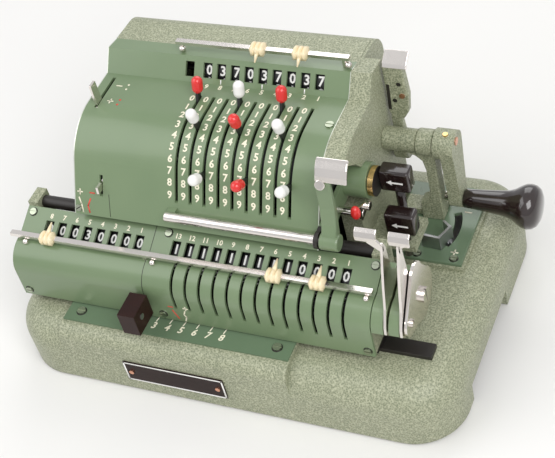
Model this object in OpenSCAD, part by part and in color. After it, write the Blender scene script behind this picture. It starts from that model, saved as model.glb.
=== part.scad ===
// Hand-cranked lever-set calculating machine with a shifting carriage.
// Millimetres, +Z up, front towards -Y. The origin lies on the table, under the middle of the base.

/* [Base casting] */
// Width of the base, side to side
base_w = 258; // [250:1:280]
// Depth of the base, front to back
base_d = 165; // [163:1:185]
// Height of the flat top of the base above the table
base_top = 38; // [36:1:48]
// Plan radius of the base corners
base_corner_r = 28; // [22:1:34]
// Radius where the top rolls over into the walls
base_edge_r = 16; // [10:1:18]
// Wall thickness of the casting
base_wall = 4; // [3:0.5:6]
// Gap between the rim and the table
rim_gap = 1.5; // [1:0.5:3]
// Length of each hand-grip cut-out
grip_len = 65; // [50:1:80]
// Height of the hand-grip cut-outs above the table
grip_h = 13; // [11:1:16]
// Width of the raised block that carries the position scale
block_w = 135; // [110:1:150]
// Height of the raised block above the flat top
block_rise = 3; // [2:0.1:3]
// Radius of the rubber feet
foot_r = 8; // [6:0.5:10]

/* [Number columns] */
// Spacing of the number columns
pitch = 8; // [7.6:0.1:8.4]
// Radius of the result and counter dials
dial_r = 11; // [9:0.1:11.2]
// Radius of the check dials behind the upper windows
check_r = 10; // [8:0.1:10.4]
// Width of the number windows
window_w = 5.2; // [4:0.1:5.4]
// Height of the number windows
window_h = 8; // [6:0.1:9]

/* [Setting cover] */
// Radius of the curved front of the setting cover
cover_r = 32.6; // [31:0.1:33]
// Thickness of the sheet-metal covers
sheet = 1.5; // [1:0.1:1.8]
// Angle from the level at which the curved front runs out into a straight skirt
skirt_turn = 149.5; // [146:0.5:152]
// Slope of the window panel above the flat top
panel_angle = 52; // [46:1:56]
// Height that the window panel rises
panel_rise = 10.9; // [9:0.1:12]
// Distance from the main shaft back to the foot of the window panel
panel_back = 23.2; // [22.5:0.1:24]
// Width of the lever slots
slot_w = 1.9; // [1.8:0.1:2.6]
// Angle from the level at which a lever stands on nought
lever_zero = 71.5; // [70:0.5:74]
// Angle that a lever turns from one digit to the next
digit_step = 11; // [10:0.1:11.1]
// Radius from the main shaft to the middle of a lever knob
knob_at = 42.5; // [41.5:0.1:44]
// Radius of a lever knob
knob_r = 3; // [2.4:0.1:3.4]

/* [Carriage] */
// Radius of the curved front of the carriage cover
carriage_r = 13.5; // [13.1:0.1:14]
// Radius of the finger wheels seen in the carriage slots
thumb_r = 11.2; // [9:0.1:11.4]
// Distance that the carriage stands to the right of its first place, in columns
carriage_shift = 4; // [4:1:4]
// Radius of the round guide rod behind the carriage
guide_r = 3.5; // [2.5:0.1:3.8]

/* [Crank] */
// Distance from the crank shaft to the grip
crank_radius = 38.5; // [36:0.5:40]
// Radius of the crank shaft
crank_shaft_r = 4.5; // [4:0.1:5]
// Outer radius of the crank bearing tube
tube_r = 7; // [6.5:0.1:7.6]
// Length of the hand grip
grip_reach = 42; // [36:1:50]
// Largest radius of the hand grip
grip_r = 11.5; // [8:0.5:12]

/* [Fits] */
// Radial clearance of a shaft that turns in its hole
fit = 0.05; // [0.03:0.01:0.08]
// Clearance between a slider and its rail
slide_gap = 0.3; // [0.3:0.05:0.4]

/* [Hidden] */
$fn = 48;
setting_columns = 9;
result_columns = 13;
counter_columns = 8;
// Digits that the nine levers stand on, from column 1
rest_digits = [7, 3, 0, 7, 3, 0, 7, 3, 0];
// Colours of the finishes
smooth_green = [0.42, 0.55, 0.45];
hammer_green = [0.47, 0.53, 0.43];
nickel = [0.82, 0.80, 0.78];
steel = [0.55, 0.56, 0.57];
bakelite = [0.07, 0.06, 0.06];
ivory = [0.93, 0.87, 0.70];
knob_red = [0.85, 0.10, 0.10];
knob_white = [0.95, 0.95, 0.93];
dial_black = [0.08, 0.08, 0.09];
// The base stands to the left, so that the crank grip evens out the width
base_x = -8;
// Main shaft, which the setting levers turn on
main_y = 7.5;
main_z = base_top + 58;
main_r = 4;
// Crank shaft behind it, geared one to one
gear_r = 16;
gear_teeth = 26;
gear_tooth = 1.9;
gear_w = 4;
crank_y = main_y + 2 * gear_r;
crank_z = main_z;
// Setting columns and the ends of the setting cover
lever_x1 = 29.5;
cover_left = lever_x1 - 8 * pitch - 61.7;
cover_right = lever_x1 + 16.1;
cover_top = main_z + cover_r;
panel_foot = main_y + panel_back;
panel_head = panel_foot + panel_rise / tan(panel_angle);
panel_top = cover_top + panel_rise;
seam_y = panel_head + 9.6;
seam_top = panel_top - 1.6;
// Straight skirt below the curved front
skirt_z = main_z - 9.5;
skirt_lean = -tan(skirt_turn);
// Check dials behind the window panel
check_wall = 0.8;
check_off = check_r + sheet + check_wall;
window_y = (panel_foot + panel_head) / 2;
window_z = cover_top + panel_rise / 2;
check_y = window_y + check_off * sin(panel_angle);
check_z = window_z - check_off * cos(panel_angle);
check_w = 5;
check_axle_r = 1.6;
// Rear cover
rear_reach = 70.5;
rear_y = main_y + rear_reach;
rear_top = seam_top - 1.1;
rear_round = 14;
rear_wall = 2;
// Carriage, its dials and its finger wheels
thumb_y = -49;
thumb_z = base_top + 23.5;
dial_y = -35.5;
dial_z = base_top + 27;
dial_w = 4.6;
axle_r = 2;
thumb_side = 3.3;
thumb_w = 1.2;
result_x1 = lever_x1 - 0.5 + carriage_shift * pitch;
counter_x1 = result_x1 - (result_columns - 1) * pitch - 22;
carriage_left = counter_x1 - (counter_columns - 1) * pitch - 16.3;
carriage_right = result_x1 + 17.5;
carriage_seam = counter_x1 + 8;
carriage_front = thumb_y - carriage_r;
carriage_back = -32;
carriage_low = base_top + 5;
brow_y = thumb_y + 1.5;
brow_rise = 7.2;
brow_angle = atan(brow_rise / (carriage_back - brow_y));
crown_z = thumb_z + carriage_r;
guide_y = -25.5;
guide_z = base_top + 42;
guide_boss = guide_r + 1.5;
end_w = 6;
runner_h = 2;
// Side frames between the covers
frame_w = 2;
frame_left = cover_left + rear_wall;
frame_right = lever_x1 + 8;
frame_front = -20;
// Right side casting
cast_left = cover_right + 0.2;
cast_right = cast_left + 11.2;
cast_proud = 0.6;
cast_back = 60;
cast_plate = 1.5;
cast_notch = [main_y - 6.5, main_z + 17];
cast_tip = [-38, 31];
drum_r = 9.5;
ear_w = 2.2;
// Clearing shaft in front of the setting cover
bar_y = main_y - 43.1;
bar_z = main_z - 1.7;
bar_r = 2.7;
bar_left = lever_x1 - 8 * pitch - 4.5;
bar_hub_r = 4.6;
bar_hub_x = cast_left + ear_w + 0.6;
bar_hub_w = 10;
// Keys
key_rear = [72.5, 13, main_z];
key_front = [76.5, 1.5, main_z - 19];
key_size = [15, 11, 12];
key_stem_r = 2.5;
key_plate_z = main_z - 38;
key_plate_h = 4;
key_plate_right = 83;
// Deck plate
deck_left = 59;
deck_right = 102.4;
deck_front = 6.2;
deck_back = 62;
deck_h = 2;
deck_rim = 2;
deck_z = base_top + 4;
swing = [64.5, 30];
swing_r = 28.3;
swing_rest = -18.5;
swing_range = 38;
swing_spare = 6;
swing_slot = 4;
// Crank bracket and crank
tube_left = cast_right;
tube_right = tube_left + 27.6;
crank_left = tube_right + 0.6;
crank_hub_r = 8.2;
crank_hub_w = 11;
crank_end_r = 5;
crank_arm_w = 7;
spindle_r = 3;
post_x = tube_right - 5.5;
post_r = 4.5;
// Rails that carry the decimal markers
rail_h = 2;
rail_d = 3;
top_rail_y = panel_head + 4;
top_rail_z = panel_top + 5.5;
top_rail_left = lever_x1 - 8 * pitch - 20;
top_rail_right = cover_right - 1.5;
low_rail_y = thumb_y - 1;
low_rail_z = crown_z + 3.4;
// Feet, raised block, scale plate and bare name plate of the base
foot_x = base_w / 2 - base_corner_r + 4;
foot_y = base_d / 2 - base_corner_r + 4;
foot_h = 4;
boss_r = foot_r + 2;
block_left = -100;
block_back = -60;
block_front = -base_d / 2;
block_top = base_top + block_rise;
block_edge = 8;
grip_mid = -15;
plate_t = 1;
name_w = 60;
name_h = 15;
name_left = -63;
name_low = 10.5;
// Rods that tie the side frames
tie_r = 3;
tie_places = [[-8, base_top + 12], [rear_y - 16, base_top + 12], [rear_y - 14, base_top + 84]];
// Small levers on the left of the setting cover
sign_x = cover_left + 6.5;
counter_lever_x = cover_left + 16.7;
counter_angle = 171.5;
// Stop lever on the ear of the side casting
stop_y = -10;
stop_z = main_z - 6;
stop_r = 2;
stop_x = cast_right + 2.6;
// Place where the posts of the upper rail stand
top_seat = panel_top - (top_rail_y - panel_head) * (panel_top - seam_top) / (seam_y - panel_head);
// Gears between the main shaft and the crank shaft
gear_x = frame_right + frame_w + 1;
// Shift handle on the front of the carriage
handle_x = counter_x(1) + 7.1;
handle_w = 10;
handle_d = 16;
handle_low = carriage_low + 7;
handle_high = carriage_low + 21.5;
handle_z = carriage_low + 13;
handle_stem_r = 3;
handle_stem_x = handle_x - 3.5;
// Side plate of the zeroing levers
zero_plate_x = carriage_right + 17.5;
zero_plate_w = 1.5;
zero_tip = [dial_y - 18.2, dial_z - 0.8];
// Back-transfer lever on its stub behind the crank tube
back_x = cast_right + 1.2;
back_w = 8;
back_y = crank_y + 10.7;
back_z = crank_z - 14;
back_pin_r = 4;

function lever_x(column) = lever_x1 - (column - 1) * pitch;
function check_x(column) = lever_x(column) - 0.6;
function result_x(column) = result_x1 - (column - 1) * pitch;
function counter_x(column) = counter_x1 - (column - 1) * pitch;
// Front face of the straight skirt at a height
function skirt_y(z) =
  main_y + cover_r * cos(skirt_turn) - (main_z + cover_r * sin(skirt_turn) - z) * skirt_lean;

// Extrudes a (Y, Z) outline from x0 to x1
module along_x(x0, x1) {
  translate([x0, 0, 0]) rotate([90, 0, 90]) linear_extrude(x1 - x0) children();
}

// Round bar along X
module rod_x(x0, x1, y, z, r) {
  translate([x0, y, z]) rotate([0, 90, 0]) cylinder(r = r, h = x1 - x0);
}

module box(x0, x1, y0, y1, z0, z1) {
  translate([x0, y0, z0]) cube([x1 - x0, y1 - y0, z1 - z0]);
}

// Places children with their Z axis at an angle from the level, about a shaft along X
module about_shaft(x, y, z, angle) {
  translate([x, y, z]) rotate([angle - 90, 0, 0]) children();
}

module screw_head(r, h) {
  difference() {
    cylinder(r = r, h = h);
    translate([-r - 1, -0.3, h * 0.5]) cube([2 * r + 2, 0.6, h]);
  }
}

// One corner of the base, rounded over at the top
module base_corner(r, edge, low, high) {
  translate([0, 0, low]) cylinder(r = r, h = high - edge - low);
  translate([0, 0, low]) cylinder(r = r - edge, h = high - low);
  translate([0, 0, high - edge])
    rotate_extrude()
      intersection() {
        translate([r - edge, 0]) circle(edge);
        square([r, edge]);
      }
}

module base_blank(inset, low, high) {
  edge = base_edge_r - inset;
  half_w = base_w / 2 - inset;
  half_d = base_d / 2 - inset;
  flat_w = base_w / 2 - base_corner_r;
  flat_d = base_d / 2 - base_corner_r;
  for (sx = [-1, 1])
    for (sy = [-1, 1])
      translate([sx * flat_w, sy * flat_d, 0]) base_corner(base_corner_r - inset, edge, low, high);
  box(-flat_w, flat_w, -half_d, half_d, low, high - edge);
  box(-half_w, half_w, -flat_d, flat_d, low, high - edge);
  box(-flat_w, flat_w, edge - half_d, half_d - edge, low, high);
  box(edge - half_w, half_w - edge, -flat_d, flat_d, low, high);
  for (sy = [-1, 1])
    rod_x(-flat_w, flat_w, sy * (half_d - edge), high - edge, edge);
  for (sx = [-1, 1])
    translate([sx * (half_w - edge), -flat_d, high - edge]) rotate([-90, 0, 0])
      cylinder(r = edge, h = 2 * flat_d);
}

module base() {
  color(hammer_green)
    difference() {
      union() {
        difference() {
          translate([base_x, 0, 0]) base_blank(0, rim_gap, base_top);
          translate([base_x, 0, 0]) base_blank(base_wall, rim_gap - 1, base_top - base_wall);
        }
        for (sx = [-1, 1])
          for (sy = [-1, 1])
            translate([base_x + sx * foot_x, sy * foot_y, rim_gap])
              cylinder(r = boss_r, h = base_top - base_wall - rim_gap + 1);
        box(block_left, block_left + block_w, block_front + block_edge, block_back,
            base_top - base_edge_r, block_top);
        box(block_left, block_left + block_w, block_front, block_front + block_edge,
            base_top - base_edge_r, block_top - block_edge);
        rod_x(block_left, block_left + block_w, block_front + block_edge, block_top - block_edge,
              block_edge);
        box(deck_left, deck_right + 1.5, deck_front - 1.5, deck_back, base_top - 1, deck_z - deck_h);
      }
      for (sx = [-1, 1])
        for (sy = [-1, 1])
          translate([base_x + sx * foot_x, sy * foot_y, -1]) cylinder(r = foot_r + 0.1, h = foot_h + 1);
      for (sx = [-1, 1])
        translate([base_x + sx * base_w / 2, grip_mid, 0])
          cube([4 * base_wall, grip_len, 2 * grip_h], center = true);
      intersection() {
        translate([swing[0], swing[1], 0]) cylinder(r = swing_r + 6, h = 2 * base_top);
        box(deck_left + deck_rim, deck_right - deck_rim, deck_front + deck_rim, deck_back - deck_rim,
            base_top - base_wall - 1, 2 * base_top);
      }
    }
}

module rubber_feet() {
  color(bakelite)
    for (sx = [-1, 1])
      for (sy = [-1, 1])
        translate([base_x + sx * foot_x, sy * foot_y, 0]) cylinder(r = foot_r, h = foot_h);
}

module front_plates() {
  color(smooth_green)
    box(block_left + 0.5, block_left + block_w - 0.5, block_front + block_edge + 0.5, block_back,
        block_top, block_top + plate_t);
  color(bakelite)
    box(name_left, name_left + name_w, block_front - plate_t, block_front, name_low, name_low + name_h);
}

module deck_plate() {
  pivot_r = 3;
  span = 2 * swing_r;
  color(smooth_green)
    difference() {
      box(deck_left, deck_right, deck_front, deck_back, deck_z - deck_h, deck_z);
      difference() {
        translate([swing[0], swing[1], 0]) cylinder(r = swing_r + swing_slot / 2, h = 2 * deck_z);
        translate([swing[0], swing[1], -1])
          cylinder(r = swing_r - swing_slot / 2, h = 2 * deck_z + 2);
        for (turn = [swing_rest - swing_spare - 180, swing_rest - swing_spare - 90,
                     swing_rest + swing_range + swing_spare])
          translate([swing[0], swing[1], -1]) rotate([0, 0, turn]) cube([span, span, 2 * deck_z + 2]);
      }
      translate([swing[0], swing[1], 0]) cylinder(r = pivot_r + fit, h = 2 * deck_z);
    }
}

// Outline of one side frame, inside the covers
module frame_outline() {
  inset = sheet + 0.6;
  roof = rear_wall + 1;
  polygon([[frame_front, base_top], [frame_front, main_z], [main_y, cover_top - inset],
           [panel_foot + 1, cover_top - inset], [panel_head + 1, panel_top - inset],
           [seam_y, seam_top - roof], [rear_y - rear_round, rear_top - roof],
           [rear_y - 5, rear_top - rear_round], [rear_y - 5, base_top]]);
}

module side_frames() {
  color(steel)
    for (x = [frame_left, frame_right])
      difference() {
        union() {
          along_x(x, x + frame_w) frame_outline();
          box(x, x + frame_w, guide_y, frame_front, guide_z - guide_boss, guide_z + guide_boss);
          rod_x(x, x + frame_w, guide_y, guide_z, guide_boss);
        }
        rod_x(x - 1, x + frame_w + 1, guide_y, guide_z, guide_r + fit);
        rod_x(x - 1, x + frame_w + 1, main_y, main_z, main_r + fit);
        if (x == frame_right)
          rod_x(x - 1, x + frame_w + 1, crank_y, crank_z, crank_shaft_r + fit);
        rod_x(x - 1, x + frame_w + 1, check_y, check_z, check_axle_r);
        for (p = tie_places)
          rod_x(x - 1, x + frame_w + 1, p[0], p[1], tie_r);
      }
}

module cross_rods() {
  color(steel) {
    for (p = tie_places)
      rod_x(frame_left, frame_right + frame_w, p[0], p[1], tie_r);
    rod_x(frame_left, frame_right + frame_w, check_y, check_z, check_axle_r);
  }
}

// Solid bounded by the setting cover, drawn in by inset
module setting_solid(x0, x1, inset) {
  crease = tan(panel_angle / 2) * inset;
  low = inset > 0 ? 1 : 0;
  foot = skirt_z - low;
  turn_y = main_y + (cover_r - inset) * cos(skirt_turn);
  turn_z = main_z + (cover_r - inset) * sin(skirt_turn);
  intersection() {
    rod_x(x0, x1, main_y, main_z, cover_r - inset);
    box(x0, x1, main_y - cover_r, main_y, turn_z, cover_top);
  }
  along_x(x0, x1)
    polygon([[turn_y, turn_z], [turn_y - (turn_z - foot) * skirt_lean, foot], [main_y, foot],
             [main_y, turn_z + 1], [turn_y + 3, turn_z + 1]]);
  along_x(x0, x1)
    polygon([[main_y, foot], [main_y, cover_top - inset],
             [panel_foot + crease, cover_top - inset], [panel_head + crease, panel_top - inset],
             [seam_y + low, seam_top - inset], [seam_y + low, foot]]);
}

module setting_cover() {
  lug_w = 5;
  color(smooth_green)
    difference() {
      union() {
        difference() {
          setting_solid(cover_left, cover_right, 0);
          setting_solid(cover_left - 1, cover_right + 1, sheet);
        }
        box(bar_left, bar_left + lug_w, bar_y + 1, skirt_y(bar_z) + 1.2, bar_z - 2, bar_z + 2);
      }
      for (column = [1 : setting_columns])
        box(lever_x(column) - slot_w / 2, lever_x(column) + slot_w / 2, main_y - 2 * cover_r,
            main_y + 13.6, main_z + 2.4, main_z + 2 * cover_r);
      for (column = [1 : setting_columns])
        check_window(check_x(column));
      check_window(check_x(setting_columns) - 10.5);
      box(sign_x - slot_w / 2, sign_x + slot_w / 2, main_y - 4, main_y + 20, cover_top - 5, cover_top + 5);
      box(counter_lever_x - slot_w / 2, counter_lever_x + slot_w / 2, main_y - 2 * cover_r,
          main_y - cover_r / 2, main_z + 0.3, main_z + 10.5);
      rod_x(bar_left - 1, cover_right, bar_y, bar_z, bar_r + fit);
    }
}

// Opening in the window panel
module check_window(x) {
  translate([x, window_y, window_z]) rotate([panel_angle, 0, 0])
    cube([window_w, window_h, 6 * sheet], center = true);
}

module rear_solid(x0, x1, inset) {
  low = inset > 0 ? 1 : 0;
  top = rear_top - inset;
  along_x(x0, x1)
    polygon([[seam_y - low, base_top - low], [seam_y - low, seam_top - inset],
             [rear_y - rear_round, top], [rear_y - rear_round, top - rear_round + inset],
             [rear_y - inset, top - rear_round + inset], [rear_y - inset, base_top - low]]);
  rod_x(x0, x1, rear_y - rear_round, top - rear_round + inset, rear_round - inset);
}

module rear_cover() {
  color(hammer_green)
    difference() {
      rear_solid(cover_left, cover_right, 0);
      rear_solid(frame_left, cover_right + 1, rear_wall);
    }
}

module side_casting() {
  drum_right = cast_right + 3.5;
  skin = cover_top + cast_proud;
  color(hammer_green)
    difference() {
      union() {
        intersection() {
          rod_x(cast_left, cast_right, main_y, main_z, cover_r + cast_proud);
          along_x(cast_left, cast_right)
            polygon([[main_y, main_z + drum_r - 1], cast_notch, cast_notch + cast_tip,
                     [main_y, cast_notch[1] + cast_tip[1]]]);
        }
        along_x(cast_left, cast_right)
          polygon([[main_y, base_top], [main_y, skin], [panel_foot - 0.5, skin],
                   [panel_head - 0.5, panel_top + cast_proud], [cast_back - 8, seam_top + cast_proud],
                   [cast_back, seam_top - 12], [cast_back, base_top]]);
        rear_solid(cast_left, cast_left + cast_plate, 0);
        box(cast_left, cast_right, frame_front + 15, main_y + 1, base_top, main_z - 14);
        rod_x(cast_left, drum_right, main_y, main_z, drum_r);
        rod_x(cast_left, cast_left + ear_w, bar_y, bar_z, bar_hub_r);
        along_x(cast_left, cast_left + ear_w)
          polygon([[bar_y, bar_z - 4], [bar_y, bar_z + 4], [main_y, main_z + 4], [main_y, main_z - 9],
                   [stop_y - 4, stop_z - 4.5], [frame_front, stop_z - 0.5]]);
        box(cast_right - 1, key_plate_right, key_front[1] - 5, key_rear[1] + 5,
            key_plate_z, key_plate_z + key_plate_h);
        rod_x(cast_right - 1, back_x + back_w + 1.5, back_y, back_z, back_pin_r);
      }
      rod_x(cast_left - 1, drum_right + 1, main_y, main_z, main_r + fit);
      rod_x(cast_left - 1, cast_right + 1, crank_y, crank_z, crank_shaft_r + fit);
      rod_x(cast_left - 1, cast_right + 1, bar_y, bar_z, bar_r + fit);
      for (key = [key_rear, key_front])
        translate([key[0], key[1], 0]) cylinder(r = key_stem_r + fit, h = 2 * main_z);
      rod_x(cast_left - 1, cast_left + ear_w + 1, stop_y, stop_z, stop_r + fit);
    }
}

module frame_screws() {
  color(steel) {
    for (x = [cover_left + 3, cover_right - 3.2])
      translate([x, main_y + 3, cover_top]) screw_head(2.2, 1);
    for (x = [block_left + 9, block_left + block_w - 9])
      translate([x, (block_front + block_edge + block_back) / 2, block_top + plate_t])
        screw_head(2.4, 1.1);
    for (x = [deck_right - 5, deck_left + 18])
      translate([x, deck_front + 3.5, deck_z]) screw_head(2, 0.9);
    for (x = [name_left + 4, name_left + name_w - 4])
      translate([x, block_front - plate_t, name_low + name_h / 2]) rotate([90, 0, 0])
        cylinder(r = 1.4, h = 0.7);
  }
}

// Rail on posts that carries decimal markers
module marker_rail(x0, x1, y, z, posts, post_h) {
  box(x0, x1, y - rail_d / 2, y + rail_d / 2, z - rail_h / 2, z + rail_h / 2);
  for (x = posts)
    translate([x, y, z - rail_h / 2 - post_h]) cylinder(r = 1.3, h = post_h + 0.2);
}

module top_rail() {
  color(nickel)
    marker_rail(top_rail_left, top_rail_right, top_rail_y, top_rail_z,
                [top_rail_left + 3, top_rail_right - 3],
                top_rail_z - rail_h / 2 - top_seat - 0.25);
}

// Saddle that slides on a rail, with a pointer towards the windows
module marker(x, y, z, point) {
  gap = slide_gap;
  difference() {
    union() {
      box(x - 3, x + 3, y - 3.2, y + 3.2, z - 2.6, z + 3);
      translate([x - 0.8, y, z + 0.6]) rotate([point, 0, 0]) cube([1.6, 8, 1.6]);
    }
    box(x - 4, x + 4, y - rail_d / 2 - gap, y + rail_d / 2 + gap, z - rail_h / 2 - gap, z + rail_h / 2 + gap);
    box(x - 4, x + 4, y - rail_d / 2 + 0.5, y + rail_d / 2 - 0.5, z - 4, z);
  }
}

module top_markers() {
  color(ivory)
    for (x = [lever_x(5) - pitch / 2, lever_x(2) - pitch / 2])
      mirror([0, 1, 0]) marker(x, -top_rail_y, top_rail_z, -34);
}

module carriage_markers() {
  color(ivory)
    for (x = [counter_x(counter_columns), result_x(6), result_x(3)])
      marker(x + pitch / 2, low_rail_y, low_rail_z, 22);
}

module crank_bracket() {
  foot_high = deck_z + 4;
  color(hammer_green)
    difference() {
      union() {
        rod_x(tube_left, tube_right, crank_y, crank_z, tube_r);
        rod_x(tube_right - 9, tube_right, crank_y, crank_z, tube_r + 1);
        translate([post_x, crank_y, deck_z]) cylinder(r = post_r, h = crank_z - deck_z);
        box(post_x - 7, post_x + 4, crank_y - 5, crank_y + 5, deck_z, foot_high);
        box(deck_left + 2, post_x, crank_y - 2, crank_y + 9, deck_z, foot_high);
      }
      rod_x(tube_left - 1, tube_right + 1, crank_y, crank_z, crank_shaft_r + fit);
    }
}

module carriage_track() {
  track_h = carriage_low - runner_h - slide_gap - base_top;
  color(bakelite)
    along_x(carriage_left + 12, base_x + base_w / 2 - base_edge_r)
      translate([thumb_y - 6, base_top]) square([9, track_h]);
}

// Gear with plain trapezoid teeth, phase in tooth pitches
module gear(x, y, z, phase) {
  step = 360 / gear_teeth;
  tip = gear_tooth / 2 - 0.1;
  along_x(x, x + gear_w)
    translate([y, z]) {
      circle(gear_r - tip - 0.3);
      for (k = [0 : gear_teeth - 1])
        rotate((k + phase) * step)
          polygon([[gear_r - tip - 1, -0.95], [gear_r + tip, -0.45], [gear_r + tip, 0.45],
                   [gear_r - tip - 1, 0.95]]);
    }
}

module main_shaft() {
  ratchet_x = cast_right + 4;
  color(steel) {
    rod_x(frame_left, ratchet_x + 0.1, main_y, main_z, main_r);
    difference() {
      gear(gear_x, main_y, main_z, 0);
      rod_x(gear_x - 1, gear_x + gear_w + 1, main_y, main_z, main_r - 0.5);
    }
    rod_x(ratchet_x, ratchet_x + 3, main_y, main_z, 8);
  }
}

module actuator_wheels() {
  wheel_w = 3.4;
  color(steel)
    for (column = [1 : setting_columns])
      difference() {
        rod_x(lever_x(column) + pitch / 2 - wheel_w / 2, lever_x(column) + pitch / 2 + wheel_w / 2,
              main_y, main_z, 21);
        rod_x(lever_x(column), lever_x(column) + pitch, main_y, main_z, main_r);
        for (k = [0 : 4])
          translate([0, main_y, main_z]) rotate([72 * k, 0, 0])
            rod_x(lever_x(column), lever_x(column) + pitch, 13, 0, 4);
      }
}

module crank_shaft() {
  color(steel) {
    rod_x(gear_x - 6, crank_left + crank_hub_w - 1, crank_y, crank_z, crank_shaft_r);
    difference() {
      gear(gear_x, crank_y, crank_z, 0.5);
      rod_x(gear_x - 1, gear_x + gear_w + 1, crank_y, crank_z, crank_shaft_r - 0.5);
    }
  }
}

module crank_arm() {
  arm_x = crank_left + crank_hub_w - crank_arm_w;
  end_z = crank_z - crank_radius;
  pin_r = 2.6;
  color(hammer_green)
    difference() {
      union() {
        rod_x(crank_left, crank_left + crank_hub_w, crank_y, crank_z, crank_hub_r);
        rod_x(arm_x, arm_x + crank_arm_w, crank_y, end_z, crank_end_r);
        along_x(arm_x, arm_x + crank_arm_w)
          polygon([[crank_y - crank_hub_r, crank_z], [crank_y + crank_hub_r, crank_z],
                   [crank_y + crank_end_r, end_z], [crank_y - crank_end_r, end_z]]);
        rod_x(arm_x + crank_arm_w - 0.1, arm_x + crank_arm_w + grip_reach - 6, crank_y, end_z, spindle_r);
        rod_x(crank_left + 0.6, arm_x + 1, crank_y, end_z, pin_r);
      }
      rod_x(crank_left - 1, crank_left + crank_hub_w - 1, crank_y, crank_z, crank_shaft_r);
    }
}

module crank_grip() {
  grip_x = crank_left + crank_hub_w + slide_gap;
  end_z = crank_z - crank_radius;
  neck_r = 5.2;
  color(bakelite)
    difference() {
      union() {
        translate([grip_x, crank_y, end_z]) rotate([0, 90, 0])
          cylinder(r1 = neck_r, r2 = neck_r + 2.5, h = grip_reach - grip_r - 5);
        translate([grip_x + grip_reach - grip_r - 0.5, crank_y, end_z]) sphere(grip_r, $fn = 64);
      }
      rod_x(grip_x - 1, grip_x + grip_reach - 5.5, crank_y, end_z, spindle_r + fit);
    }
}

// Solid bounded by the carriage cover, drawn in by inset
module carriage_solid(x0, x1, inset) {
  low = inset > 0 ? 1 : 0;
  drop = inset / cos(brow_angle);
  box(x0, x1, carriage_front + inset, carriage_back + low, carriage_low - low, thumb_z);
  rod_x(x0, x1, thumb_y, thumb_z, carriage_r - inset);
  along_x(x0, x1)
    polygon([[thumb_y, thumb_z - 0.01], [thumb_y, crown_z - inset],
             [brow_y + (drop - inset) / tan(brow_angle), crown_z - inset],
             [carriage_back + low, crown_z + brow_rise - drop + low * tan(brow_angle)],
             [carriage_back + low, thumb_z - 0.01]]);
}

// Opening in the sloping brow of the carriage cover
module dial_window(x) {
  mid_y = (brow_y + carriage_back) / 2 - 2.2;
  translate([x, mid_y, crown_z + (mid_y - brow_y) * tan(brow_angle)])
    rotate([brow_angle, 0, 0]) cube([window_w, window_h, 6 * sheet], center = true);
}

module carriage_shell(x0, x1) {
  difference() {
    carriage_solid(x0, x1, 0);
    carriage_solid(x0 - 1, x1 + 1, sheet);
  }
}

module counter_cover() {
  color(smooth_green)
    difference() {
      carriage_shell(carriage_left, carriage_seam);
      for (column = [1 : counter_columns])
        dial_window(counter_x(column));
      translate([handle_stem_x, carriage_front - 1, handle_z]) rotate([-90, 0, 0])
        cylinder(r = handle_stem_r + fit, h = 10);
    }
}

module result_cover() {
  color(smooth_green)
    difference() {
      carriage_shell(carriage_seam, carriage_right);
      for (column = [1 : result_columns]) {
        dial_window(result_x(column));
        box(result_x(column) + thumb_side - 0.9, result_x(column) + thumb_side + 0.9,
            carriage_front - 1, thumb_y + 0.5, thumb_z - 8.5, crown_z + 1);
      }
    }
}

module carriage_bed() {
  color(bakelite) {
    box(carriage_left + 1, carriage_right - 0.2, carriage_front + 4, carriage_back + 4,
        carriage_low - runner_h, carriage_low + 1);
  }
}

module carriage_end(x) {
  difference() {
    union() {
      intersection() {
        carriage_solid(x, x + end_w, sheet + 0.1);
        box(x, x + end_w, carriage_front, 0, carriage_low + 1, 2 * main_z);
      }
      box(x, x + end_w, carriage_back, frame_front - 0.6, carriage_low + 1, guide_z + guide_boss);
    }
    rod_x(x - 1, x + end_w + 1, guide_y, guide_z, guide_r);
    rod_x(x - 1, x + end_w + 1, dial_y, dial_z, axle_r);
    rod_x(x - 1, x + end_w + 1, thumb_y, thumb_z, axle_r);
  }
}

module carriage_ends() {
  guard_x = carriage_right + 7.2;
  color(hammer_green) {
    carriage_end(carriage_left + 0.2);
    carriage_end(carriage_right - end_w - 0.2);
    difference() {
      along_x(guard_x, guard_x + 3)
        polygon([[carriage_front + 8, carriage_low + 6], [carriage_front + 4, thumb_z],
                 [carriage_front + 10, crown_z - 2], [carriage_back, crown_z], [carriage_back + 4, dial_z],
                 [carriage_back, carriage_low + 8]]);
      rod_x(guard_x - 1, guard_x + 4, dial_y, dial_z, axle_r);
    }
  }
}

module carriage_screws() {
  low_z = carriage_low + 4;
  high_y = carriage_back - 3;
  high_z = crown_z + (high_y - brow_y) * tan(brow_angle);
  plate_x = zero_plate_x + zero_plate_w;
  color(steel) {
    for (x = [carriage_left + 4, carriage_seam + pitch, carriage_right - 3.5]) {
      translate([x, high_y, high_z]) rotate([brow_angle, 0, 0]) screw_head(2, 0.9);
      translate([x, carriage_front, low_z]) rotate([90, 0, 0]) screw_head(2, 0.9);
    }
    translate([plate_x, dial_y, dial_z]) rotate([0, 90, 0]) screw_head(4.2, 2);
    translate([plate_x, zero_tip[0], zero_tip[1]]) rotate([0, 90, 0]) screw_head(2.2, 1.2);
  }
}

module carriage_rail() {
  left = carriage_left - 3;
  right = carriage_right - 0.5;
  color(nickel)
    marker_rail(left, right, low_rail_y, low_rail_z, [left + 5, carriage_seam - 1, right - 3],
                low_rail_z - rail_h / 2 - crown_z - 0.1);
}

module carriage_shafts() {
  color(steel) {
    rod_x(carriage_left + 0.2, zero_plate_x + zero_plate_w, dial_y, dial_z, axle_r);
    rod_x(carriage_left + 0.2, carriage_right - 0.2, thumb_y, thumb_z, axle_r);
    rod_x(carriage_left + 0.2, carriage_right - 0.2, guide_y, guide_z, guide_r);
  }
}

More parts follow.
